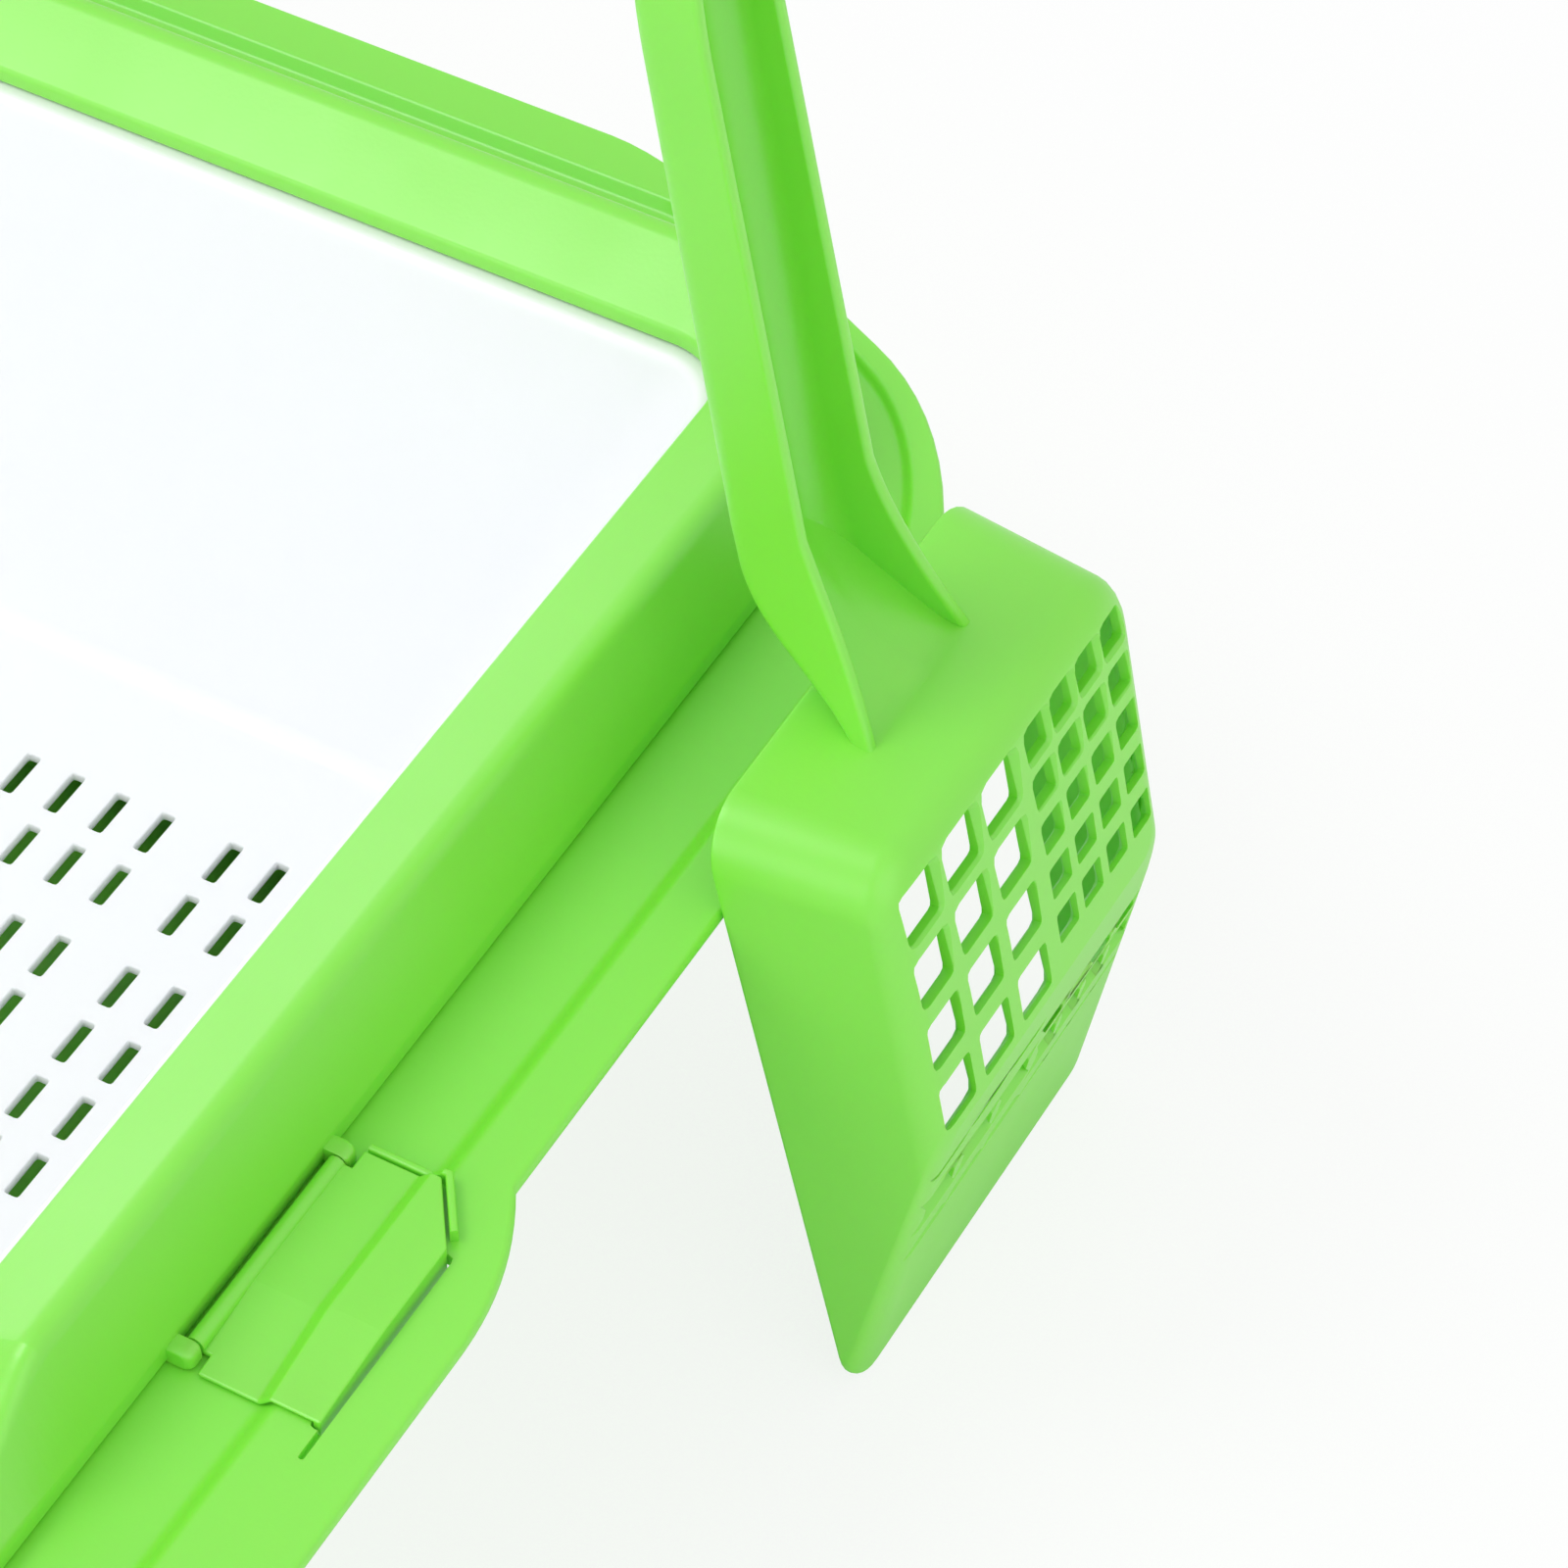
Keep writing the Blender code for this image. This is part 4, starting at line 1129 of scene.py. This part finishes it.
@dataclass(frozen=True)
class LatchFlap:
    """Hinged flap that holds the frame down: a stepped plate with a tongue that drops through the lip,
    a barrel and two pins."""

    shape: BoxShape
    middle_y: float = 0.022
    length: float = 0.042
    sheet: float = 0.002
    hinge_out: float = 0.0024
    barrel_radius: float = 0.0014
    pin_radius: float = 0.0008
    pin_length: float = 0.0017
    edge_inset: float = 0.0017
    tongue_width: float = 0.0012
    tongue_drop: float = 0.0052
    front_sheet: float = 0.0006
    front_run: float = 0.016
    sharp_degrees: float = 3.0
    chamfer_across: float = 0.007
    chamfer_along: float = 0.010
    swing_room: float = 0.0008
    slot_end_room: float = 0.0005
    groove_run: float = 0.0050
    groove_depth: float = 0.0012
    ear_length: float = 0.003
    ear_height: float = 0.0029
    ear_out: float = 0.0039
    soft_edge: float = 0.00055
    soft_steps: int = 3
    soft_from_degrees: float = 28.0
    tool_over: float = 0.010

    @property
    def barrel_length(self) -> float:
        """Length of the barrel, which lies between the frame's ears."""
        return self.length - 2 * (self.ear_length + self.shape.gap)

    @property
    def notch_reach(self) -> float:
        """How far out from the hinge the notches go that clear the ears as the flap swings."""
        out, up = self.ear_out - self.hinge_out, self.ear_height - self.barrel_radius
        return math.hypot(out, up) + self.shape.gap

    def hinge_middle(self, side: Side) -> Vector:
        """Returns the middle of a latch's hinge line.

        Args:
            side: the long side that the latch is on.

        Returns:
            The point.
        """
        box = self.shape
        x = box.width / 2 - box.foot_inset + self.hinge_out
        return Vector((side.value * x, self.middle_y, box.trough_height + box.gap + self.barrel_radius))

    def lip_slot(self) -> tuple[Vector, Vector]:
        """Returns the plan of the right slot in the lip.

        Returns:
            Two opposite corners, on the ground plane.
        """
        tongue = self.shape.width / 2 - self.edge_inset
        low_y = self.middle_y - self.length / 2 - self.slot_end_room
        high_y = self.middle_y + self.length / 2 - self.chamfer_along + self.slot_end_room
        inner = tongue - self.tongue_width - self.shape.gap
        return Vector((inner, low_y, 0)), Vector((tongue + self.swing_room, high_y, 0))

    def lip_groove(self) -> tuple[Vector, Vector]:
        """Returns the plan of the groove that runs on from the right slot.

        Returns:
            Two opposite corners, on the ground plane.
        """
        tongue = self.shape.width / 2 - self.edge_inset
        start = self.middle_y - self.length / 2
        low = Vector((tongue, start - self.slot_end_room - self.groove_run, 0))
        return low, Vector((tongue + self.swing_room, start + self.swing_room, 0))

    def profile(self, reach: float, sheet: float) -> Pairs:
        """Returns the flap's cross-section.

        Args:
            reach: how far out from the hinge it goes.
            sheet: its thickness.

        Returns:
            Distances out from the hinge and heights above it.
        """
        box = self.shape
        under_trough = -self.barrel_radius
        under_lip = under_trough + box.lip_slope
        slope_foot = box.trough_width - self.hinge_out - box.gap
        slope_top = slope_foot + box.lip_slope
        inner = reach - self.tongue_width
        return [
            (0, under_trough),
            (slope_foot, under_trough),
            (slope_top, under_lip),
            (inner, under_lip),
            (inner, under_lip - self.tongue_drop),
            (reach, under_lip - self.tongue_drop),
            (reach, under_lip + sheet),
            (slope_top - sheet / 2, under_lip + sheet),
            (slope_foot - sheet / 2, under_trough + sheet),
            (0, under_trough + sheet),
        ]

    def cuts(self, reach: float) -> list[tuple[Pairs, float]]:
        """Lists what is cut off the plate: its chamfered corner, the tongue past it, and the notches
        for the ears.

        Args:
            reach: how far out from the hinge the plate goes.

        Returns:
            The plan of each cut, out from the hinge and along it, and its top above the hinge.
        """
        half, over = self.length / 2, self.tool_over
        chamfer_x, chamfer_y = reach - self.chamfer_across, half - self.chamfer_along
        far_x, far_y = reach + over, half + over
        wedge = [
            (reach, chamfer_y), (chamfer_x, half), (chamfer_x, far_y), (far_x, far_y), (far_x, chamfer_y)
        ]
        past_tongue = rectangle(reach - 2 * self.tongue_width, chamfer_y, far_x, far_y)
        plans = [(wedge, over), (past_tongue, self.shape.lip_slope - self.barrel_radius)]
        for end in BOTH_ENDS:
            notch = rectangle(-over, end * self.barrel_length / 2, self.notch_reach, end * far_y)
            plans.append((notch, over))
        return plans

    def build(self, side: Side, finish: Material) -> Object:
        """Builds one flap.

        Args:
            side: the long side that it is on.
            finish: its material.

        Returns:
            The finished object.
        """
        hinge = self.hinge_middle(side)

        def placed(points: list[Spot]) -> Outline:
            """Returns points that are given out from the hinge, along it and above it."""
            return [hinge + Vector((side.value * x, y, z)) for x, y, z in points]

        reach = self.shape.slope_inset + self.shape.trough_width - self.hinge_out - self.edge_inset
        half = self.length / 2
        slices = ((-half, self.front_sheet), (self.front_run - half, self.sheet), (half, self.sheet))
        rows = [placed([(x, y, z) for x, z in self.profile(reach, sheet)]) for y, sheet in slices]
        name = side.name.lower()
        flap = solid(rows, f"latch_{name}_flap", finish)
        for plan, top in self.cuts(reach):
            rows = [placed([(x, y, z) for x, y in plan]) for z in (-self.tool_over, top)]
            join(flap, solid(rows, "plan_tool"), "DIFFERENCE")
        soft = flap.modifiers.new("soft edges", "BEVEL")
        soft.width = self.soft_edge
        soft.segments = self.soft_steps
        soft.limit_method = "ANGLE"
        soft.angle_limit = math.radians(self.soft_from_degrees)
        settle(flap)
        join(flap, rod(self.barrel_radius, hinge, self.barrel_length), "UNION")
        join(flap, rod(self.pin_radius, hinge, self.barrel_length + 2 * self.pin_length), "UNION")
        paint(flap, finish)
        return Piece(f"latch_{name}", f"{name}_latch", Slot.GREEN).attach(flap, self.sharp_degrees)


# Scoop.


def toward_foot(change: float, run: float, rise: float, power: float = 1.0, blend: float = NO_BLEND) -> float:
    """Returns how much of a change in the handle's size is there at a rise above its foot.

    Args:
        change: the whole change, at the foot.
        run: how far it goes on.
        rise: the place above the foot.
        power: 1 for an even change, more for one that is faster at the foot.
        blend: share of the run, before and past its end, over which the change fades out smoothly.

    Returns:
        The change there.
    """
    share = 1 - rise / run
    if abs(share) < blend:
        share = (share + blend) ** 2 / (4 * blend)
    return change * max(0.0, share) ** power


@dataclass(frozen=True)
class SquareHoles:
    """One size of the scoop's square holes: how many stand side by side, how many rows there are on the
    upper and on the front panel, where their middle is across the scoop, and their pitches."""

    size: float
    columns: int
    rows: tuple[int, int]
    middle_y: float
    pitch_across: float
    pitch_along: float


@dataclass(frozen=True)
class HandleSection:
    """One cross-section of the scoop's handle: its place along the scoop, half its width, and the depths
    of its back, of its channel's floor and of its side walls' edges."""

    along: float
    half: float
    back: float
    floor: float
    edge: float


@dataclass(frozen=True)
class Scoop:
    """One-piece scoop: a blade with square holes and a channel handle. In its own frame X is the depth
    away from the box, Y runs across and Z along from the front edge."""

    shape: BoxShape
    from_back: float = 0.097
    lean: float = math.radians(12)
    length: float = 0.263
    sheet: float = 0.0021
    blade_length: float = 0.120
    half_width: float = 0.040
    panel_half_width: float = 0.037
    depth: float = 0.028
    crease_depth: float = 0.026
    crease_at: float = 0.0594
    rear_fold_at: float = 0.1134
    front_edge: float = 0.0012
    fold_radius: float = 0.0050
    front_corner: float = 0.0075
    rear_corner: float = 0.0095
    crease_corner: float = 0.0040
    rim_edge: float = 0.0007
    handle_half: float = 0.0107
    handle_end_half: float = 0.0100
    handle_edge: float = 0.0059
    handle_depth: float = 0.0121
    handle_end_depth: float = 0.0106
    tilt_share: float = 0.038
    end_reach: float = 0.031
    end_room: float = 0.000021
    foot_half: float = 0.0155
    foot_edge: float = 0.0140
    foot_back: float = 0.0110
    flare_run: float = 0.0344
    ramp_run: float = 0.0264
    back_run: float = 0.0214
    flare_power: float = 2.0
    foot_blend: float = 0.33
    ramp_power: float = 1.5
    ramp_top_share: float = 0.94
    ramp_arch: float = 13500.0
    ramp_arch_half: float = 0.0135
    ramp_tool_reach: float = 1.3
    ramp_sheet: float = 0.0017
    fillet_run: float = 0.0030
    fillet_steps: int = 12
    channel_round: float = 0.0050
    channel_round_share: float = 0.9
    back_round: float = 0.0030
    edge_round: float = 0.0009
    hole_margins: tuple[float, float] = (0.0052, 0.0016)
    hole_corner_share: float = 0.11
    hole_edge: float = 0.0003
    tool_over: float = 0.002
    holes: tuple[SquareHoles, ...] = (
        SquareHoles(
            size=0.0090, columns=3, rows=(4, 3), middle_y=-0.0172, pitch_across=0.0120, pitch_along=0.0127
        ),
        SquareHoles(
            size=0.0060, columns=4, rows=(5, 4), middle_y=0.0182, pitch_across=0.0080, pitch_along=0.0092
        ),
    )
    corner_steps: int = 8
    fold_steps: int = 6
    rim_steps: int = 3
    handle_edge_steps: int = 5
    foot_steps: int = 34
    end_steps: int = 14
    round_steps: int = 8

    @property
    def panel_slope(self) -> float:
        """How much deeper the upper panel gets along the blade."""
        return (self.depth - self.crease_depth) / (self.rear_fold_at - self.crease_at)

    @property
    def panel_start(self) -> float:
        """Depth of the upper panel's plane at the front edge."""
        return self.crease_depth - self.panel_slope * self.crease_at

    @property
    def rear_slope(self) -> float:
        """How steep the rear wall is."""
        return self.depth / (self.blade_length - self.rear_fold_at)

    @property
    def foot_at(self) -> float:
        """Where the handle's foot ends, inside the sheet of the rear wall."""
        sheet_along = self.sheet * math.hypot(1, self.rear_slope) / self.rear_slope
        return self.blade_length - self.foot_edge / self.rear_slope - sheet_along / 2

    @property
    def wall_rise(self) -> float:
        """How far above the foot the rear wall meets the edges of the handle's side walls."""
        return self.blade_length - self.foot_edge / self.rear_slope - self.foot_at

    @property
    def straight_at(self) -> float:
        """Where the handle's flare ends."""
        return self.foot_at + self.flare_run

    def level_depth(self, level: float, along: float) -> float:
        """Returns the depth at a level between the plane of the rim, 0, and the upper panel, 1."""
        return level * (self.panel_start + self.panel_slope * along)

    def front_at(self, level: float, sheet: float) -> float:
        """Returns where a level meets the front panel, or its inside when a sheet is given.

        Args:
            level: from 0 at the rim to 1 at the upper panel.
            sheet: thickness of the panel, or 0 for its outside.

        Returns:
            The place along the scoop.
        """
        slope = (self.crease_depth - self.front_edge) / self.crease_at
        offset = self.front_edge - sheet * math.hypot(1, slope)
        return max(0.0, (level * self.panel_start - offset) / (slope - level * self.panel_slope))

    def rear_at(self, level: float, sheet: float) -> float:
        """Returns where a level meets the rear wall, or its inside when a sheet is given.

        Args:
            level: from 0 at the rim to 1 at the upper panel.
            sheet: thickness of the wall, or 0 for its outside.

        Returns:
            The place along the scoop.
        """
        slope = self.rear_slope
        end = slope * self.blade_length - sheet * math.hypot(1, slope)
        return (end - level * self.panel_start) / (slope + level * self.panel_slope)

    def blade_ring(self, level: float, sheet: float = 0.0, fold_inset: float = 0.0) -> Outline:
        """Returns the blade's outline at a level, with rounded corners.

        Args:
            level: from 0 at the rim to 1 at the upper panel.
            sheet: thickness, for the inside of the blade.
            fold_inset: how far the fold round the panel has drawn the outline in.

        Returns:
            The closed outline.
        """
        half = self.half_width - (self.half_width - self.panel_half_width) * level - sheet - fold_inset
        front = self.front_at(level, sheet)
        rear = self.rear_at(level, sheet) - fold_inset
        front_radius = self.front_corner + (self.crease_corner - self.front_corner) * level - sheet / 2
        rear_radius = self.rear_corner - sheet - fold_inset / 2
        corners = (
            (half - front_radius, front + front_radius, front_radius, -1),
            (half - rear_radius, rear - rear_radius, rear_radius, 0),
            (rear_radius - half, rear - rear_radius, rear_radius, 1),
            (front_radius - half, front + front_radius, front_radius, 2),
        )
        points = []
        for across, along, radius, quarter in corners:
            for share in shares(self.corner_steps):
                angle = (quarter + share) * math.pi / 2
                z = along + radius * math.sin(angle)
                points.append(Vector((self.level_depth(level, z), across + radius * math.cos(angle), z)))
        return points

    def fold_rings(self, sheet: float) -> list[Outline]:
        """Returns the outlines of the fold round the upper panel.

        Args:
            sheet: thickness, for the inside of the blade.

        Returns:
            The outlines, out to the panel.
        """
        radius = (self.fold_radius - sheet) / self.depth
        top = 1 - sheet / self.depth
        return [
            self.blade_ring(
                top - radius * (1 - math.sin(turn)), sheet, radius * self.depth * (1 - math.cos(turn))
            )
            for turn in quarter_turn(self.fold_steps)
        ]

    def blade(self) -> list[Outline]:
        """Returns the rows of the hollow blade.

        Returns:
            Closed outlines, from inside the panel over the rounded rim to the outside.
        """
        inside, outside = self.fold_rings(self.sheet), self.fold_rings(0.0)
        edge_level = self.front_edge / self.panel_start
        rim = [self.blade_ring(0.0, self.sheet), self.blade_ring(0.0), self.blade_ring(edge_level)]
        rings = list(reversed(inside)) + rim + outside
        radii = [0.0] * len(inside) + [self.rim_edge] * len(rim) + [0.0] * len(outside)
        columns = [rounded(list(column), radii, self.rim_steps) for column in zip(*rings)]
        return [list(row) for row in zip(*columns)]

    def section(self, along: float) -> HandleSection:
        """Returns the handle's section at a place.

        Args:
            along: the place along the scoop.

        Returns:
            The section.
        """
        rise, run = along - self.foot_at, max(0.0, along - self.straight_at)
        share = run / (self.length - self.straight_at)
        past = max(0.0, along - self.length + self.end_reach) / self.end_reach
        half = self.handle_half + (self.handle_end_half - self.handle_half) * share
        half += toward_foot(self.foot_half - self.handle_half, self.flare_run, rise, self.flare_power)
        depth = self.handle_depth + (self.handle_end_depth - self.handle_depth) * share
        edge = self.handle_edge + self.tilt_share * run
        floor = edge - depth + self.sheet
        back = edge - depth + self.foot_back_change(rise)
        edge += toward_foot(self.foot_edge - self.handle_edge, self.flare_run, rise, blend=self.foot_blend)
        return HandleSection(along, half * math.sqrt(1 - past**2), back, floor, edge)

    def foot_back_change(self, rise: float) -> float:
        """Returns how much deeper the handle's back is at a rise above its foot than past the flare."""
        change = self.foot_back - self.handle_edge + self.handle_depth
        return toward_foot(change, self.back_run, rise, blend=self.foot_blend)

    def places(self, start: float, end: float) -> list[float]:
        """Returns the places of the handle's sections.

        Args:
            start: the first place along the scoop.
            end: the last place.

        Returns:
            The places in order, close together in the flare and in the round end.
        """
        flare = [self.foot_at + self.flare_run * share for share in shares(self.foot_steps)]
        fillet_start = self.foot_at + self.wall_rise
        fillet = [fillet_start + self.fillet_run * share**2 for share in shares(self.fillet_steps)]
        turns = quarter_turn(self.end_steps)
        round_end = [self.length - self.end_reach * (1 - math.sin(turn)) for turn in turns]
        return [start, *sorted(place for place in flare + fillet + round_end if start < place < end), end]

    def handle_body(self) -> list[Outline]:
        """Returns the rows of the handle before its channel is cut.

        Returns:
            Its cross-sections, with rounded edges.
        """
        radii = [self.back_round, self.edge_round, self.edge_round, self.back_round]
        rows = []
        for section in map(self.section, self.places(self.foot_at, self.length - self.end_room)):
            half, back, edge = section.half, section.back, section.edge
            corners = [(back, -half), (edge, -half), (edge, half), (back, half)]
            points = [Vector((x, y, section.along)) for x, y in corners]
            rows.append(rounded(points, radii, self.handle_edge_steps, closed=True))
        return rows

    def channel_tool(self) -> list[Outline]:
        """Returns the rows of the tool for the channel.

        Returns:
            Its cross-sections, round at the channel's floor and wider at the side walls' edges.
        """
        narrowest = math.sqrt(1 - (2 * self.sheet / self.handle_end_half) ** 2)
        last = self.length - self.end_reach * (1 - narrowest)
        turns = quarter_turn(self.round_steps)
        rows = []
        for section in map(self.section, self.places(self.foot_at - self.sheet, last)):
            inner, floor, edge = section.half - self.sheet, section.floor, section.edge
            rim, bend = self.edge_round, min(self.channel_round, self.channel_round_share * inner)
            profile = [(edge + self.sheet, inner + rim)]
            profile += [(edge - rim * (1 - math.cos(a)), inner + rim * (1 - math.sin(a))) for a in turns]
            profile += [(floor + bend * (1 - math.sin(a)), inner - bend * (1 - math.cos(a))) for a in turns]
            points = profile + [(x, -y) for x, y in reversed(profile)]
            rows.append([Vector((x, y, section.along)) for x, y in points])
        return rows

    def ramp_base(self, rise: float, across: float) -> float:
        """Returns the depth of the ramp at the handle's foot, before it is led into the blade. Its top is
        an arch, past which it goes on straight under the channel's floor, so that the two meet in a clear
        line. It keeps a sheet's thickness from the handle's back.

        Args:
            rise: how far above the foot.
            across: how far from the handle's middle.

        Returns:
            The depth there.
        """
        back = self.handle_edge - self.handle_depth
        floor = back + self.sheet
        top = self.ramp_run * self.ramp_top_share
        arched = rise + self.ramp_arch * min(abs(across), self.ramp_arch_half) ** 3
        change = toward_foot(self.foot_edge - floor, self.ramp_run, min(arched, top), self.ramp_power)
        fall = self.ramp_power * change / (self.ramp_run - top)
        depth = floor + change - fall * max(0.0, arched - top)
        return max(depth, back + self.foot_back_change(rise) + self.ramp_sheet)

    def ramp_depth(self, rise: float, across: float) -> float:
        """Returns the ramp's depth with the curve that leads it smoothly into the blade's rear wall.

        Args:
            rise: how far above the foot.
            across: how far from the handle's middle.

        Returns:
            The depth there.
        """
        gap = self.foot_edge - self.ramp_base(self.wall_rise, across)
        fade = math.exp(-max(0.0, rise - self.wall_rise) * (self.rear_slope - 1) / gap)
        return self.ramp_base(rise, across) + gap * fade

    def ramp_tool(self) -> list[Outline]:
        """Returns the rows of the tool that stands over the ramp and over the channel above it.

        Returns:
            Its cross-sections, each with the ramp's depths across the scoop.
        """
        widest, deepest = self.ramp_tool_reach * self.ramp_arch_half, self.depth * 2
        across = [widest * (share * 2 - 1) for share in shares(self.foot_steps)]
        rows = []
        for along in self.places(self.foot_at - 2 * self.sheet, self.length):
            low = [Vector((self.ramp_depth(along - self.foot_at, y), y, along)) for y in across]
            rows.append([*low, Vector((deepest, widest, along)), Vector((deepest, -widest, along))])
        return rows

    def handle(self) -> Object:
        """Builds the channel handle.

        Returns:
            The handle, open over its channel and over its ramp.
        """
        handle = solid(self.handle_body(), "handle")
        room = solid(self.channel_tool(), "channel_tool")
        join(room, solid(self.ramp_tool(), "ramp_tool"), "INTERSECT")
        join(handle, room, "DIFFERENCE")
        return handle

    def cut_holes(self, scoop: Object, finish: Material) -> None:
        """Cuts both sizes of holes into both panels of the blade.

        Args:
            scoop: the scoop, in its own frame.
            finish: its material.
        """
        edge = Vector((0, self.front_edge))
        crease = Vector((self.crease_at, self.crease_depth))
        fold = Vector((self.rear_fold_at, self.depth))
        for panel, (start, end) in enumerate(((crease, fold), (edge, crease))):
            up = (end - start).normalized()
            for holes in self.holes:
                half, rows = holes.size / 2, holes.rows[panel]
                top = (end - start).length - self.hole_margins[panel] - half
                spot = start + up * (top - (rows - 1) * holes.pitch_along / 2)
                corner = holes.size * self.hole_corner_share
                tool = cutter(half, half, self.sheet, corner, self.hole_edge, self.tool_over)
                tool.data.transform(Matrix.Rotation(-math.atan2(up.y, up.x), 4, "X"))
                field = HoleField(
                    holes.columns, rows, holes.pitch_across, holes.pitch_along,
                    origin=(spot.y, holes.middle_y, spot.x), turn=(math.pi / 2, 0.0, math.pi / 2),
                )
                field.cut(scoop, tool, finish)

    def place(self) -> Matrix:
        """Stands the scoop on the floor and leans it on the rim.

        Returns:
            The matrix from the scoop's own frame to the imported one.
        """
        box = self.shape
        contact = box.gap / math.cos(self.lean) + box.rim_height * math.tan(self.lean)
        spot = Vector((box.width / 2 + contact, box.length / 2 - self.from_back, box.gap))
        return Matrix.Translation(spot) @ Matrix.Rotation(-self.lean, 4, "Y")

    def build(self, finish: Material) -> Object:
        """Builds the scoop with all its holes, leaning on the rim.

        Args:
            finish: its material.

        Returns:
            The finished object.
        """
        scoop = solid(self.blade(), "scoop_body", finish)
        join(scoop, self.handle(), "UNION")
        self.cut_holes(scoop, finish)
        paint(scoop, finish)
        scoop.data.transform(self.place())
        return Piece("scoop", "litter_scoop", Slot.GREEN).attach(scoop)


# Studio.


@dataclass(frozen=True)
class SoftLight:
    """One soft white area light."""

    name: str
    place: Spot
    size: float
    energy: float

    def build(self, target: Vector) -> Object:
        """Builds the light.

        Args:
            target: the point that it is aimed at.

        Returns:
            The light.
        """
        data = bpy.data.lights.new(self.name, "AREA")
        data.shape = "DISK"
        data.size = self.size
        data.energy = self.energy
        light = bpy.data.objects.new(self.name, data)
        bpy.context.scene.collection.objects.link(light)
        light.location = self.place
        light.rotation_euler = (target - Vector(self.place)).to_track_quat("-Z", "Y").to_euler()
        return light


@dataclass(frozen=True)
class Studio:
    """Pale floor, white surroundings, soft lights and the photo's camera. The whiteness is how far the
    floor looks plain white to the camera, so that only the rest of its shade shows."""

    floor_size: float = 12.0
    floor_color: str = "#F7F8F8"
    floor_roughness: float = 0.9
    floor_grains: float = 900.0
    floor_grain_detail: float = 2.0
    floor_grain_height: float = 0.00002
    sky_strength: float = 0.80
    whiteness: float = 0.82
    lights: tuple[SoftLight, ...] = (
        SoftLight("key_light", (-0.60, -0.28, 1.47), 0.7, 6.0),
        SoftLight("low_light", (-1.40, 0.74, 0.45), 0.8, 2.2),
        SoftLight("right_light", (1.28, -0.48, 0.90), 1.4, 3.0),
        SoftLight("front_light", (-0.48, -1.36, 0.75), 1.0, 4.0),
    )
    lights_target: Spot = (0.05, 0.0, 0.06)
    camera_place: Spot = (0.4524, -0.3420, 0.7031)
    camera_degrees: Spot = (42.0, 0.0, 29.35)
    lens: float = 127.7
    sensor_width: float = 36.0
    sight: tuple[float, float] = (0.01, 50.0)

    def floor(self) -> Object:
        """Builds the floor of matt painted board, a plain pale ground that keeps a faint shadow. Its
        grain is drawn coarser than real paint's, so that it shows.

        Returns:
            The floor.
        """
        material = bpy.data.materials.new("matt_white_painted_board")
        material.use_nodes = True
        tree = material.node_tree
        place = add_node(tree, "ShaderNodeTexCoord", {}).outputs["Object"]
        size = {"Scale": self.floor_grains, "Detail": self.floor_grain_detail}
        grain = add_node(tree, "ShaderNodeTexNoise", {"Vector": place, **size}).outputs["Fac"]
        bump = add_node(tree, "ShaderNodeBump", {"Height": grain, "Distance": self.floor_grain_height})
        shader = tree.nodes["Principled BSDF"]
        tree.links.new(bump.outputs["Normal"], shader.inputs["Normal"])
        shader.inputs["Base Color"].default_value = linear_color(self.floor_color)
        shader.inputs["Roughness"].default_value = self.floor_roughness
        white = add_node(tree, "ShaderNodeEmission", {"Color": linear_color(WHITE), "Strength": 1.0})
        seen = add_node(tree, "ShaderNodeLightPath", {}).outputs["Is Camera Ray"]
        share = add_node(tree, "ShaderNodeMath", {0: seen, 1: self.whiteness}, operation="MULTIPLY")
        look = add_node(
            tree,
            "ShaderNodeMixShader",
            {0: share.outputs[0], 1: shader.outputs["BSDF"], 2: white.outputs["Emission"]},
        )
        tree.links.new(look.outputs["Shader"], tree.nodes["Material Output"].inputs["Surface"])
        skin = bmesh.new()
        bmesh.ops.create_grid(skin, x_segments=4, y_segments=4, size=self.floor_size / 2)
        floor = object_from(skin, "studio_floor", material)
        return floor

    def world(self) -> None:
        """Makes surroundings that light softly and look white."""
        world = bpy.data.worlds.new("white_surroundings")
        world.use_nodes = True
        bpy.context.scene.world = world
        tree = world.node_tree
        tree.nodes.clear()
        soft, seen = (
            add_node(tree, "ShaderNodeBackground", {"Color": linear_color(WHITE), "Strength": strength})
            for strength in (self.sky_strength, 1.0)
        )
        path = add_node(tree, "ShaderNodeLightPath", {}).outputs
        looked_at = add_node(
            tree,
            "ShaderNodeMath",
            {0: path["Is Camera Ray"], 1: path["Is Transmission Ray"]},
            operation="MAXIMUM",
        )
        mix = add_node(
            tree,
            "ShaderNodeMixShader",
            {0: looked_at.outputs[0], 1: soft.outputs["Background"], 2: seen.outputs["Background"]},
        )
        add_node(tree, "ShaderNodeOutputWorld", {"Surface": mix.outputs["Shader"]})

    def camera(self) -> Object:
        """Builds the camera of the photo.

        Returns:
            The camera, which the scene looks through.
        """
        data = bpy.data.cameras.new("photo_camera")
        data.lens = self.lens
        data.sensor_width = self.sensor_width
        data.clip_start, data.clip_end = self.sight
        camera = bpy.data.objects.new("photo_camera", data)
        camera.location = self.camera_place
        camera.rotation_euler = [math.radians(turn) for turn in self.camera_degrees]
        bpy.context.scene.collection.objects.link(camera)
        bpy.context.scene.camera = camera
        return camera

    def build(self) -> None:
        """Builds the whole studio."""
        self.floor()
        self.world()
        for light in self.lights:
            light.build(Vector(self.lights_target))
        self.camera()
        bpy.context.scene.view_settings.view_transform = "Standard"


def main() -> None:
    """Builds every piece and the studio."""
    logging.basicConfig(level=logging.INFO, format="%(name)s: %(message)s")
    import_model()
    green = GREEN_PLASTIC.material()
    white = WHITE_PLASTIC.material()
    shape = BoxShape()
    latch = LatchFlap(shape)
    BaseTray(shape).build(green, latch)
    SieveTray(shape).build(white)
    TopFrame(shape).build(green, latch)
    for side in Side:
        latch.build(side, green)
    Scoop(shape).build(green)
    Studio().build()


if __name__ == "__main__":
    main()
